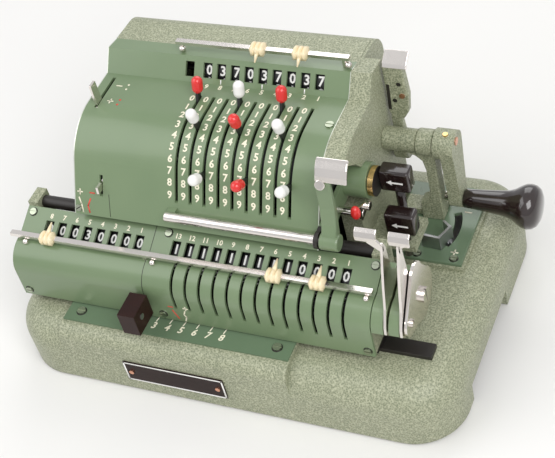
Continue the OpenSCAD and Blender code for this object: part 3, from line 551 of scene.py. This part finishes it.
def bent_sheet(bm, path, thickness, x0, x1):
    """A strip of sheet metal bent along a path of (Y, Z) points."""
    points = [Vector(point) for point in path]
    runs = [after - before for before, after in zip(points, points[1:])]
    runs = [runs[0]] + [(a.normalized() + b.normalized()) for a, b in zip(runs, runs[1:])] + [runs[-1]]
    off = [Vector((-run.y, run.x)).normalized() * thickness / 2 for run in runs]
    outer = [point + shift for point, shift in zip(points, off)]
    inner = [point - shift for point, shift in zip(points, off)]
    side_plate(bm, outer + inner[::-1], x0, x1)


def round_edges(bm, width):
    """Takes the sharpness off every hard edge."""
    hard_angle = 0.7
    edges = [edge for edge in bm.edges if edge.is_manifold and edge.calc_face_angle() > hard_angle]
    bmesh.ops.bevel(bm, geom=edges, offset=width, segments=2, profile=0.5,
                    affect="EDGES", material=-1)


def facing(x, y, z, tilt):
    """Places a mark whose face is tilted by an angle: 0 faces up, 90 faces the user."""
    return Matrix.Translation((x, y, z)) @ Matrix.Rotation(math.radians(tilt), 4, "X")


def facing_right(x, y, z):
    """Places a mark whose face looks along +X."""
    return Matrix.Translation((x, y, z)) @ Matrix.Rotation(math.radians(90), 4, "Y")


def round_shaft(x, centre, radius, angle):
    """Places a mark on a cylinder along X, at an angle from +Y towards +Z."""
    turn = math.radians(angle)
    place = (x, centre.x + radius * math.cos(turn), centre.y + radius * math.sin(turn))
    return facing(*place, angle - 90)


def on_skirt(x, z):
    """Places a mark on the straight skirt of the setting cover, at a height."""
    turn = math.radians(SKIRT_TURN)
    start_y = MAIN.x + COVER_R * math.cos(turn)
    start_z = MAIN.y + COVER_R * math.sin(turn)
    place = Matrix.Translation((0, MARK_LIFT * math.cos(turn), MARK_LIFT * math.sin(turn)))
    return place @ facing(x, start_y + (start_z - z) * math.tan(turn), z, SKIRT_TURN - 90)


def brow_z(y):
    """Height of the carriage's sloped top at a depth."""
    return CROWN_Z + (y - BROW_Y) * math.tan(math.radians(BROW_ANGLE))


def on_brow(x, y):
    """Places a mark on the carriage's sloped top."""
    return facing(x, y, brow_z(y) + MARK_LIFT, BROW_ANGLE)


def on_top(x, y):
    """Places a mark on the flat top of the setting cover."""
    return facing(x, y, COVER_TOP + MARK_LIFT, 0)


def on_front(x, z):
    """Places a mark on the carriage's front wall."""
    return facing(x, CARRIAGE_FRONT - MARK_LIFT, z, 90)


def on_plate(x, y):
    """Places a mark on the scale plate or the deck plate."""
    return facing(x, y, PLATE_TOP + MARK_LIFT, 0)


def add_line(bm, width, first, last, place):
    """A painted line between two points, given as arguments of a placing function."""
    start = place(*first).translation
    end = place(*last).translation
    run = end - start
    face = place(*first).to_3x3() @ Vector((0, 0, 1))
    side = run.normalized().cross(face)
    turn = Matrix((side, run.normalized(), face)).transposed().to_4x4()
    add_bar(bm, (width, run.length, MARK_DEPTH), Matrix.Translation((start + end) / 2) @ turn)


def add_lead(bm, runs, place):
    """A painted leading line made of short straight runs."""
    for first, last in runs:
        add_line(bm, LEAD, first, last, place)


def add_minus(bm, size, width, matrix):
    """One painted stroke."""
    add_bar(bm, (size, width, MARK_DEPTH), matrix)


def add_plus(bm, size, width, matrix):
    """Two painted strokes that cross."""
    add_minus(bm, size, width, matrix)
    add_minus(bm, width, size, matrix)


def lever_x(column):
    """Middle of a setting lever, counted from the right."""
    return LEVER_X1 - (column - 1) * PITCH


def check_x(column):
    """Middle of a check window, counted from the right."""
    return lever_x(column) - CHECK_SHIFT


def cover_place(x, angle):
    """Place on the setting cover that a lever at an angle passes."""
    turn = math.radians(angle)
    if angle < 90:
        return on_top(x, MAIN.x + COVER_R / math.tan(turn))
    if angle < SKIRT_TURN:
        return round_shaft(x, MAIN, COVER_R + MARK_LIFT, angle)
    reach = COVER_R / math.cos(turn - math.radians(SKIRT_TURN))
    return on_skirt(x, MAIN.y + reach * math.sin(turn))


def setting_marks():
    """Digits beside each lever slot and the column numbers behind them."""
    beside_slot = 3.9
    number_shift = 0.1
    number_y = PANEL_FOOT - 2.4
    bm = bmesh.new()
    for column in range(1, COLUMNS + 1):
        x = lever_x(column)
        for digit in range(10):
            place = cover_place(x - beside_slot, LEVER_ZERO + DIGIT_STEP * digit)
            add_mark(bm, str(digit), SETTING_DIGIT, place)
        add_mark(bm, str(column), COLUMN_NUMBER, on_top(x + number_shift, number_y))
    make_piece("setting_digits", bm, CREAM_MARK, "frame")


def panel_ticks():
    """White ticks below every third check window."""
    tick = (0.6, 2.4, MARK_DEPTH)
    along = 1.4
    rise = math.radians(PANEL_ANGLE)
    y = PANEL_FOOT + along * math.cos(rise)
    z = COVER_TOP + along * math.sin(rise)
    bm = bmesh.new()
    for column in (8, 5, 2):
        add_bar(bm, tick, facing(check_x(column), y, z, PANEL_ANGLE))
    make_piece("panel_ticks", bm, WHITE_MARK, "frame")


def dial_digits(bm, x, centre, radius, window, shown):
    """Ten digits around a dial, with the shown one at the window's angle."""
    for digit in range(10):
        angle = window + DIAL_STEP * (digit - shown)
        add_mark(bm, str(digit), DIAL_DIGIT, round_shaft(x, centre, radius + MARK_LIFT, angle))


def register_digits():
    """Digits of the result dials and the counter dials."""
    digit_shift = 0.7
    registers = (("result", RESULT_X1, RESULT_SHOWN), ("counter", COUNTER_X1, COUNTER_SHOWN))
    for name, first, shown in registers:
        bm = bmesh.new()
        for column, digit in enumerate(shown):
            x = first - column * PITCH - digit_shift
            dial_digits(bm, x, DIAL, DIAL_R, DIAL_WINDOW, digit)
        make_piece(name + "_digits", bm, WHITE_MARK, name + "_dials_body")


def check_digits():
    """Digits of the check dials, each dial a piece of its own."""
    for column in range(1, COLUMNS + 1):
        bm = bmesh.new()
        dial_digits(bm, check_x(column), CHECK, CHECK_R, PANEL_ANGLE + 90, REST_DIGITS[column - 1])
        make_piece("check_digits_%d" % column, bm, WHITE_MARK, "check_dial_%d_body" % column)


def window_numbers():
    """Column numbers behind the windows of both registers."""
    row_y = -36.0
    bm = bmesh.new()
    for first, shown in ((RESULT_X1, RESULT_SHOWN), (COUNTER_X1, COUNTER_SHOWN)):
        for column in range(len(shown)):
            add_mark(bm, str(column + 1), WINDOW_NUMBER, on_brow(first - column * PITCH, row_y))
    make_piece("window_numbers", bm, CREAM_MARK, "carriage")


def scale_marks():
    """Slanted numbers and ticks of the scale in front of the carriage."""
    five_x = -29.7
    number_y, tick_y = -67.8, -62.8
    tick = (0.6, 4.2, MARK_DEPTH)
    tick_shift = 0.3
    slant = Matrix.Identity(4)
    slant[0][1] = 0.2
    bm = bmesh.new()
    for number in range(1, 9):
        x = five_x + PITCH * (number - 5)
        add_mark(bm, str(number), SCALE_DIGIT, on_plate(x, number_y) @ slant)
        add_bar(bm, tick, on_plate(x + tick_shift, tick_y) @ slant)
    make_piece("scale_marks", bm, CREAM_MARK, "frame")


def sign_marks():
    """Plus and minus with their dots beside the sign lever's slot."""
    size = 3.8
    dot_r = 0.65
    minus, minus_dots = (-83.8, 21.5), ((-78.7, 19.5), (-78.7, 23.0))
    plus, plus_dots = (-83.4, 9.3), ((-78.2, 7.3), (-78.2, 10.9))
    bm = bmesh.new()
    add_minus(bm, size, STROKE, on_top(*minus))
    add_plus(bm, size, STROKE, on_top(*plus))
    for dot in minus_dots:
        add_disc(bm, dot_r, on_top(*dot))
    make_piece("sign_marks", bm, CREAM_MARK, "frame")
    bm = bmesh.new()
    for dot in plus_dots:
        add_disc(bm, dot_r, on_top(*dot))
    make_piece("sign_marks_red", bm, RED_MARK, "frame")


def counter_marks():
    """Plus and minus below the counter lever, each with a leading line."""
    size = 3.4
    plus, minus = (-92.7, 97.2), (-85.2, 97.3)
    plus_lead = [((-93.5, 94.6), (-92.0, 91.4)), ((-92.1, 91.8), (-90.8, 87.4))]
    minus_lead = [((-86.2, 94.6), (-88.0, 90.8)), ((-88.0, 91.2), (-86.8, 87.6))]
    bm = bmesh.new()
    add_plus(bm, size, STROKE, on_skirt(*plus))
    add_lead(bm, plus_lead, on_skirt)
    make_piece("counter_marks", bm, CREAM_MARK, "frame")
    bm = bmesh.new()
    add_minus(bm, size, STROKE, on_skirt(*minus))
    add_lead(bm, minus_lead, on_skirt)
    make_piece("counter_marks_red", bm, RED_MARK, "frame")


def cover_seam():
    """Fine joint line down the skirt beside the counter lever."""
    width = 0.25
    top, bottom = (-75.0, 97.7), (-74.2, 87.2)
    bm = bmesh.new()
    add_line(bm, width, top, bottom, on_skirt)
    make_piece("cover_seam", bm, DARK_IRON, "frame")


def carriage_seam():
    """Joint line between the two covers of the carriage."""
    width = 0.3
    low = 43.2
    steps = 10
    bm = bmesh.new()
    add_line(bm, width, (CARRIAGE_SEAM, BROW_Y), (CARRIAGE_SEAM, BROW_BACK), on_brow)
    add_line(bm, width, (CARRIAGE_SEAM, FINGER_AXLE.y), (CARRIAGE_SEAM, low), on_front)
    for step in range(steps):
        angle = 90 * (step + 0.5) / steps + 90
        add_bar(bm, (width, math.pi / 2 * CARRIAGE_R / steps, MARK_DEPTH),
                round_shaft(CARRIAGE_SEAM, FINGER_AXLE, CARRIAGE_R, angle))
    make_piece("carriage_seam", bm, DARK_IRON, "carriage", False)


def skirt_screw():
    """Slotted screw at the foot of the setting cover."""
    head_r, head_h = 1.9, 1.4
    slot = (3.4, 0.5, MARK_DEPTH)
    slot_turn = 0.6
    screw_x, screw_z = -93.6, 89.4
    seat = on_skirt(screw_x, screw_z)
    bm = bmesh.new()
    add_disc(bm, head_r, seat, head_h)
    make_piece("skirt_screw", bm, FRAME_SCREWS, "frame", False)
    # The slot is a flat dark bar on the head: painted shade of the groove
    bm = bmesh.new()
    add_bar(bm, slot, seat @ Matrix.Translation((0, 0, head_h / 2)) @ Matrix.Rotation(slot_turn, 4, "Z"))
    make_piece("skirt_screw_slot_shade", bm, DARK_IRON, "frame")


def pointer_marks():
    """Red minus and white plus on the carriage wall, each with a line to the scale."""
    size = 3.2
    minus, plus = (-35.0, 54.0), (-26.1, 54.4)
    minus_lead = [((-34.5, 51.6), (-32.0, 45.0))]
    plus_lead = [((-26.9, 52.4), (-28.2, 49.2)), ((-28.2, 49.6), (-27.2, 47.0)),
                 ((-27.2, 47.4), (-28.4, 44.0))]
    bm = bmesh.new()
    add_minus(bm, size, STROKE, on_front(*minus))
    add_lead(bm, minus_lead, on_front)
    make_piece("pointer_marks_red", bm, RED_MARK, "carriage", False)
    bm = bmesh.new()
    add_plus(bm, size, STROKE, on_front(*plus))
    add_lead(bm, plus_lead, on_front)
    make_piece("pointer_marks", bm, CREAM_MARK, "carriage", False)


def deck_marks():
    """Minus at the rear and plus at the front of the mode lever's slot."""
    size, stroke = 4.2, 0.8
    minus, plus = (95.5, 43.6), (96.5, 14.0)
    bm = bmesh.new()
    add_minus(bm, size, stroke, on_plate(*minus))
    add_plus(bm, size, stroke, on_plate(*plus))
    make_piece("deck_marks", bm, CREAM_MARK, "frame")


def plate_border():
    """White border of the bare plate on the front wall."""
    left, right = -63.0, -3.0
    bottom, top = 10.5, 25.5
    width = 0.9
    inset = 0.55
    corner_gap = 0.3
    low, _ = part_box("front_plates")
    front = low.y / MM - MARK_LIFT
    across = (right - left - corner_gap, MARK_DEPTH, width)
    upright = (width, MARK_DEPTH, top - bottom - corner_gap)
    bm = bmesh.new()
    for z in (bottom + inset, top - inset):
        add_bar(bm, across, Matrix.Translation(((left + right) / 2, front, z)))
    for x in (left + inset, right - inset):
        add_bar(bm, upright, Matrix.Translation((x, front, (bottom + top) / 2)))
    make_piece("plate_border", bm, WHITE_MARK, "frame")


def key_arrows():
    """White arrow to the left on the face of each shift key."""
    shank = (6.4, MARK_DEPTH, 1.1)
    shank_shift, tip_shift = 1.6, -2.2
    tip_r = 2.0
    stand = Matrix.Rotation(math.radians(90), 4, "X") @ Matrix.Rotation(math.radians(90), 4, "Z")
    for name, place in KEY_PLACES.items():
        face = place.y - KEY_FACE - MARK_LIFT
        bm = bmesh.new()
        add_bar(bm, shank, Matrix.Translation((place.x + shank_shift, face, place.z)))
        tip = bmesh.ops.create_circle(bm, cap_ends=True, segments=3, radius=tip_r)
        tip_place = Matrix.Translation((place.x + tip_shift, face, place.z)) @ stand
        bmesh.ops.transform(bm, matrix=tip_place, verts=tip["verts"])
        make_piece("arrow_" + name, bm, WHITE_MARK, name + "_body", False)


def crank_handle():
    """Turned grip with a slim neck and a flattened bulb at its end."""
    outline = [(0.0, 3.1), (0.0, 4.7), (0.4, 5.1), (6.0, 5.4), (13.0, 6.0), (20.0, 6.7), (24.0, 7.4),
               (27.0, 8.6), (30.0, 10.6), (32.5, 11.8), (35.0, 12.1), (37.5, 11.6), (39.6, 10.0),
               (40.9, 7.2), (41.4, 3.6), (41.5, 0.0)]
    bm = bmesh.new()
    add_turned(bm, outline, (GRIP_X, CRANK.x, GRIP_Z))
    piece = make_piece("turned_grip", bm, BAKELITE, "grip")
    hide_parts("crank_grip")


def crank_fittings():
    """Oiler on top of the crank hub and the screw in its end."""
    oiler_x, oiler_y = 91.4, CRANK.x - 1.5
    oiler_r, oiler_h = 1.4, 1.2
    screw_y, screw_z = CRANK.x - 0.6, CRANK.y + 3.7
    screw_r, screw_h = 2.2, 1.0
    bm = bmesh.new()
    add_disc(bm, oiler_r, facing(oiler_x, oiler_y, CRANK.y + HUB_R, 0), oiler_h)
    make_piece("hub_oiler", bm, BRASS, "crank", False)
    bm = bmesh.new()
    add_disc(bm, screw_r, facing_right(HUB_RIGHT, screw_y, screw_z), screw_h)
    make_piece("hub_screw", bm, COPPER, "crank", False)


def carriage_outline(inset, low):
    """Side view of the carriage covers above a height, drawn in by an inset."""
    arc = [math.radians(180 - 9 * step) for step in range(11)]
    radius = CARRIAGE_R - inset
    front = [(FINGER_AXLE.x + radius * math.cos(turn), FINGER_AXLE.y + radius * math.sin(turn))
             for turn in arc]
    below = [(CARRIAGE_FRONT + inset, low)] if low < FINGER_AXLE.y else []
    return below + front + [(BROW_Y, CROWN_Z - inset), (BROW_BACK, brow_z(BROW_BACK) - inset),
                            (BROW_BACK, low)]


def carriage_end_pieces():
    """End blocks, the end casting beside the result cover and the guard between the zeroing levers."""
    block_inset, block_low = 1.7, 43.5
    bearer_d, bearer_h = 11.4, 41.5
    bearer_y, bearer_z = -26.3, 64.3
    blocks = ((-129.1, -123.1), (72.3, 78.3))
    ends = (("carriage_end_casting", 78.7, 85.3, 0.2), ("lever_guard", 87.8, 93.6, 0.6))
    end_edge = 0.5
    bm = bmesh.new()
    for x0, x1 in blocks:
        side_plate(bm, carriage_outline(block_inset, block_low), x0, x1)
        add_bar(bm, (x1 - x0, bearer_d, bearer_h), Matrix.Translation(((x0 + x1) / 2, bearer_y, bearer_z)))
    piece = make_piece("carriage_end_blocks", bm, HAMMER, "carriage", False)
    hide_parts("carriage_ends")
    for name, x0, x1, inset in ends:
        bm = bmesh.new()
        side_plate(bm, carriage_outline(inset, FINGER_AXLE.y), x0, x1)
        round_edges(bm, end_edge)
        make_piece(name, bm, SATIN, "carriage", False)


def zeroing_levers():
    """Levers on the dial axle, each with a rolled finger tab at the top."""
    blade = [(-47.4, 112.0), (-49.0, 106.0), (-51.2, 100.0), (-54.5, 89.0), (-57.8, 76.0), (-62.0, 66.5),
             (-62.6, 62.5), (-60.6, 59.6), (-55.0, 59.0), (-46.0, 55.0), (-35.5, 55.5), (-29.5, 60.0),
             (-28.5, 66.0), (-31.0, 76.0), (-37.5, 84.5), (-42.6, 90.0), (-44.4, 108.0), (-46.2, 112.0)]
    tab = [(-47.2, 112.6), (-47.5, 115.4), (-46.5, 117.6), (-44.6, 118.6)]
    blade_w, tab_t = 1.4, 1.3
    strap_front, strap_back = -48.0, -46.6
    strap_run = 5.0
    boss_r = 6.0
    edge = 0.25
    for name, x0, left, right in (("result", 85.9, 73.6, 84.4), ("counter", 94.1, 90.6, 101.0)):
        x1 = x0 + blade_w
        strap = [(right - strap_run, 112.2), (x0, 107.0), (x1, 107.0), (x1, 110.5), (right, 114.4),
                 (right - strap_run, 114.4)]
        bm = bmesh.new()
        side_plate(bm, blade, x0, x1)
        bent_sheet(bm, tab, tab_t, left, right)
        front_plate(bm, strap, strap_front, strap_back)
        add_rod(bm, x0, x1, DIAL, boss_r)
        round_edges(bm, edge)
        body = name + "_zero_lever_body"
        piece = make_piece(name + "_zeroing_lever", bm, NICKEL, body, False)
        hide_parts(name + "_zero_lever")


def clearing_lever():
    """Clearing shaft with its painted arm and a nickel tab rolled back at the top."""
    tab = [(-30.6, 131.2), (-29.6, 134.0), (-27.6, 137.6), (-25.4, 139.8), (-23.6, 140.4)]
    arm = [(-39.0, 94.3), (-34.1, 104.3), (-32.1, 114.3), (-30.8, 132.4), (-28.4, 133.4),
           (-28.1, 114.3), (-29.6, 104.3), (-31.6, 94.3)]
    shaft_ends, shaft_r = (-39.0, 52.6), 2.7
    hub_ends, hub_r = (48.6, 58.6), 4.6
    arm_sides, arm_edge = (49.6, 57.6), 0.8
    tab_sides, tab_t, tab_edge = (50.4, 66.8), 1.6, 0.4
    stud_place, stud_tilt = (53.0, -31.6, 130.0), 68
    stud_r, stud_h = 2.7, 1.6
    bm = bmesh.new()
    add_rod(bm, *shaft_ends, CLEAR_SHAFT, shaft_r)
    bent_sheet(bm, tab, tab_t, *tab_sides)
    add_disc(bm, stud_r, facing(*stud_place, stud_tilt), stud_h)
    round_edges(bm, tab_edge)
    piece = make_piece("clearing_shaft", bm, NICKEL, "clear_lever_body", False)
    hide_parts("clear_lever")
    bm = bmesh.new()
    add_rod(bm, *hub_ends, CLEAR_SHAFT, hub_r)
    side_plate(bm, arm, *arm_sides)
    round_edges(bm, arm_edge)
    make_piece("clearing_arm", bm, SATIN, "clear_lever_body", False)


def stop_lever():
    """Small plate lever with a boss beside its pivot and a red bead at its tip."""
    plate = [(-12.4, 86.6), (-4.4, 88.0), (-4.0, 92.6), (-15.6, 98.6), (-18.4, 95.4)]
    plate_sides, plate_edge = (59.6, 61.4), 0.3
    pivot_ends, pivot_r = (46.0, 61.6), 2.0
    boss, boss_ends, boss_r = Vector((-5.2, 90.6)), (59.8, 63.4), 2.5
    bead_x = 60.5
    bead = (2.6, 2.6, 4.29)
    bm = bmesh.new()
    add_rod(bm, *pivot_ends, STOP_PIVOT, pivot_r)
    add_rod(bm, *boss_ends, boss, boss_r)
    side_plate(bm, plate, *plate_sides)
    round_edges(bm, plate_edge)
    piece = make_piece("stop_lever_plate", bm, NICKEL, "stop_lever_body", False)
    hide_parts("stop_lever")
    bm = bmesh.new()
    add_oval(bm, 24, 16, bead, (bead_x, STOP_KNOB.x, STOP_KNOB.y))
    make_piece("stop_lever_bead", bm, RED_BEAD, "stop_lever_body")


def back_lever():
    """Cast lever with a belly below its nickel tab, on a stub behind the crank tube."""
    belly = [(58.2, 137.0), (58.2, 106.5), (59.4, 103.0), (62.5, 101.6), (66.2, 102.8), (69.0, 107.5),
             (70.4, 118.5), (69.6, 131.0), (68.9, 137.0)]
    stem = [(58.4, 82.0), (58.4, 104.0), (64.0, 104.0), (66.0, 82.0)]
    tab = [(BACK_FRONT, 136.6), (49.0, 138.4), (55.4, 142.4)]
    belly_back, stem_front, stem_back = 52.6, 48.2, 52.2
    hub_ends, hub_r = (58.2, 66.2), 7.5
    cast_edge = 0.9
    tab_sides, tab_t, tab_edge = (58.6, 71.6), 1.4, 0.3
    bm = bmesh.new()
    front_plate(bm, belly, BACK_FRONT, belly_back)
    front_plate(bm, stem, stem_front, stem_back)
    add_rod(bm, *hub_ends, BACK_PIVOT, hub_r)
    round_edges(bm, cast_edge)
    piece = make_piece("back_lever_casting", bm, HAMMER, "back_lever_body", False)
    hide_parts("back_lever")
    bm = bmesh.new()
    bent_sheet(bm, tab, tab_t, *tab_sides)
    round_edges(bm, tab_edge)
    make_piece("back_lever_tab", bm, NICKEL, "back_lever_body", False)


def crank_bearing():
    """Bearing tube with its collar, the arched post under it and the foot on the deck."""
    ring = [(57.0, 4.6), (57.0, 6.3), (75.4, 6.3), (75.8, 7.1), (84.2, 7.1), (84.6, 6.8), (84.6, 4.6)]
    post = [(68.5, 90.6), (74.0, 88.8), (77.4, 85.4), (78.6, 79.0), (78.8, 62.0), (77.6, 56.5),
            (72.4, 53.6), (72.4, 42.1), (84.4, 42.1), (84.4, 90.6)]
    post_front, post_back = 35.4, 43.6
    foot, foot_place = (23.0, 11.0, 3.8), (72.5, 43.0, 44.1)
    edge = 0.6
    bm = bmesh.new()
    add_turned(bm, ring, (0, CRANK.x, CRANK.y), closed=True)
    front_plate(bm, post, post_front, post_back)
    add_bar(bm, foot, Matrix.Translation(foot_place))
    bmesh.ops.recalc_face_normals(bm, faces=bm.faces)
    round_edges(bm, edge)
    piece = make_piece("crank_bearing", bm, HAMMER, "frame", False)
    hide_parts("crank_bracket")


def back_lever_fittings():
    """Dark discs and a bar painted as the shade inside holes and a slit in the front of the back lever, and
    a screw.
    """
    holes, hole_r = ((66.0, 126.2), (62.6, 114.9)), 1.3
    slit, slit_lean = (1.7, 0.2, 17.0), 0.05
    slit_place = (59.6, BACK_FRONT, 117.0)
    screw_place = (67.0, BACK_FRONT, 118.6)
    screw_r, screw_h = 1.5, 1.0
    # The holes and slit are flat dark marks: painted shade of their hollows
    bm = bmesh.new()
    for x, z in holes:
        add_disc(bm, hole_r, facing(x, BACK_FRONT, z, 90))
    add_bar(bm, slit, Matrix.Translation(slit_place) @ Matrix.Rotation(slit_lean, 4, "Y"))
    make_piece("back_lever_hole_shade", bm, DARK_IRON, "back_lever_body", False)
    bm = bmesh.new()
    add_disc(bm, screw_r, facing(*screw_place, 90), screw_h)
    make_piece("back_lever_screw", bm, COPPER, "back_lever_body", False)


def screw_rings():
    """Flat dark discs around the screw heads: painted shade of the countersinks they sit in."""
    scale_xs, scale_y, scale_r = (-91.0, 26.0), -67.25, 3.0
    deck_xs, deck_y, deck_r = (97.4, 77.0), 9.7, 2.5
    cover_xs, cover_y, cover_z, cover_r = (42.4, -93.2), 10.5, 128.5, 2.8
    carriage_xs, brow_y, wall_z, carriage_r = (-125.3, -41.0, 75.0), -35.0, 47.0, 2.5
    bm = bmesh.new()
    for x in scale_xs:
        add_disc(bm, scale_r, facing(x, scale_y, PLATE_TOP, 0))
    for x in deck_xs:
        add_disc(bm, deck_r, facing(x, deck_y, PLATE_TOP, 0))
    for x in cover_xs:
        add_disc(bm, cover_r, facing(x, cover_y, cover_z, 0))
    make_piece("frame_screw_shade_rings", bm, DARK_IRON, "frame", False)
    bm = bmesh.new()
    for x in carriage_xs:
        add_disc(bm, carriage_r, facing(x, CARRIAGE_FRONT, wall_z, 90))
        add_disc(bm, carriage_r, facing(x, brow_y, brow_z(brow_y), BROW_ANGLE))
    make_piece("carriage_screw_shade_rings", bm, DARK_IRON, "carriage", False)


def handle_screw():
    """Screw in the right side of the shift handle."""
    head_place = (-44.9, -75.0, 58.3)
    head_r, head_h = 1.7, 0.6
    bm = bmesh.new()
    add_disc(bm, head_r, facing_right(*head_place), head_h)
    make_piece("handle_screw", bm, STEEL, "shift_handle_body", False)


def rail_balls():
    """Round feet of the two marker rails."""
    low_xs, low_y, low_z, low_r = (-123.0, -44.5, 75.0), -52.2, 75.4, 1.7
    top_xs, top_y, top_z, top_r = (-51.5, 43.4), 42.2, 141.2, 1.9
    bm = bmesh.new()
    for x in low_xs:
        add_ball(bm, low_r, (x, low_y, low_z))
    make_piece("carriage_rail_feet", bm, NICKEL, "carriage")
    bm = bmesh.new()
    for x in top_xs:
        add_ball(bm, top_r, (x, top_y, top_z))
    make_piece("top_rail_feet", bm, NICKEL, "frame")


def ribbed_markers(node, xs, y, z, point):
    """Moulded saddles with three finger ribs and a pointer towards the windows."""
    saddle, saddle_lift = (7.4, 6.2, 4.6), 0.1
    rib, rib_lift = (1.6, 4.1, 3.5), 0.3
    rib_places = (-2.6, 0.0, 2.6)
    pointer_root, pointer_tip, pointer_len = 1.7, 0.4, 8.4
    pointer_lift = 1.4
    bm = bmesh.new()
    for x in xs:
        add_bar(bm, saddle, Matrix.Translation((x, y, z + saddle_lift)))
        for shift in rib_places:
            add_oval(bm, 16, 10, rib, (x + shift, y, z + rib_lift))
        lean = Matrix.Translation((x, y, z + pointer_lift)) @ Matrix.Rotation(math.radians(point), 4, "X")
        bmesh.ops.create_cone(bm, cap_ends=True, segments=12, radius1=pointer_root, radius2=pointer_tip,
                              depth=pointer_len, matrix=lean @ Matrix.Translation((0, 0, pointer_len / 2)))
    piece = make_piece("ribbed_" + node, bm, IVORY, node + "_body")
    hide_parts(node)


def key_caps():
    """Rounded caps of the two shift keys on their stems."""
    cap = (16.2, 8.6, 13.6)
    edge = 1.4
    stem_r = 2.5
    for name, place in KEY_PLACES.items():
        bm = bmesh.new()
        add_bar(bm, cap, Matrix.Identity(4))
        bmesh.ops.bevel(bm, geom=bm.edges[:], offset=edge, segments=4, profile=0.5,
                        affect="EDGES", material=-1)
        bmesh.ops.translate(bm, vec=place + Vector((0, cap[1] / 2 - KEY_FACE, 0)), verts=bm.verts)
        low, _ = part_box(name)
        foot = low.z / MM
        bmesh.ops.create_cone(bm, cap_ends=True, segments=24, radius1=stem_r, radius2=stem_r,
                              depth=place.z - foot,
                              matrix=Matrix.Translation((place.x, place.y, (place.z + foot) / 2)))
        piece = make_piece("cap_" + name, bm, BAKELITE, name + "_body")
        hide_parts(name)


def make_camera():
    """A camera that stands where the photograph was taken."""
    camera = bpy.data.cameras.new("photo_camera")
    camera.lens = CAMERA_LENS
    camera.sensor_width = 36.0
    camera.clip_start = 0.01
    holder = bpy.data.objects.new("photo_camera", camera)
    back = CAMERA_RIGHT.cross(CAMERA_UP)
    turn = Matrix((CAMERA_RIGHT, CAMERA_UP, back)).transposed().to_4x4()
    holder.matrix_world = Matrix.Translation(CAMERA_PLACE) @ turn
    bpy.context.scene.collection.objects.link(holder)
    bpy.context.scene.camera = holder


def add_lamp(name, place, size, power):
    """A square lamp aimed at the machine."""
    lamp = bpy.data.lights.new(name, "AREA")
    lamp.energy = power
    lamp.size = size
    holder = bpy.data.objects.new(name, lamp)
    holder.location = place
    holder.rotation_euler = (LAMP_AIM - Vector(place)).to_track_quat("-Z", "Y").to_euler()
    bpy.context.scene.collection.objects.link(holder)


def floor_finish():
    """Pale floor with a faint cloud in its tone."""
    finish = Finish("pale_floor")
    cloud = finish.noise(3.0, 2.0)
    finish.feed(Base_Color=finish.blend(cloud, (0.80, 0.79, 0.77), (0.86, 0.85, 0.83)),
                Roughness=0.6 + cloud * 0.15)
    return finish.material


def make_backdrop():
    """Even studio surround, white to the camera and a little brighter in polished faces."""
    world = bpy.data.worlds.new("studio_world")
    world.use_nodes = True
    nodes = Nodes(world.node_tree)
    ray = nodes.node("ShaderNodeLightPath")
    seen = Value(nodes, ray.outputs["Is Camera Ray"])
    mirrored = Value(nodes, ray.outputs["Is Glossy Ray"])
    background = world.node_tree.nodes["Background"]
    nodes.set(background.inputs["Color"], (0.97, 0.98, 1.0))
    nodes.set(background.inputs["Strength"], 0.45 + seen * 0.5 + mirrored * 0.3)
    bpy.context.scene.world = world


def make_studio():
    """Floor, lamps and surround."""
    bm = bmesh.new()
    bmesh.ops.create_grid(bm, x_segments=2, y_segments=2, size=3.0)
    mesh = bpy.data.meshes.new("studio_floor")
    bm.to_mesh(mesh)
    bm.free()
    mesh.materials.append(floor_finish())
    floor = bpy.data.objects.new("studio_floor", mesh)
    bpy.context.scene.collection.objects.link(floor)
    for name, (place, size, power) in LAMPS.items():
        add_lamp(name, place, size, power)
    make_backdrop()
    bpy.context.scene.view_settings.view_transform = "Standard"


make_camera()
make_studio()
dress_nodes()
soften_edges()
setting_marks()
panel_ticks()
register_digits()
check_digits()
window_numbers()
scale_marks()
sign_marks()
counter_marks()
cover_seam()
carriage_seam()
skirt_screw()
pointer_marks()
deck_marks()
plate_border()
key_caps()
key_arrows()
crank_handle()
crank_fittings()
crank_bearing()
carriage_end_pieces()
zeroing_levers()
clearing_lever()
stop_lever()
back_lever()
back_lever_fittings()
handle_screw()
screw_rings()
rail_balls()
ribbed_markers("top_markers", xs=(-6.5, 17.5), y=43.2, z=145.0, point=124.0)
ribbed_markers("carriage_markers", xs=(-109.0, 25.0, 49.0), y=-50.0, z=78.4, point=-68.0)
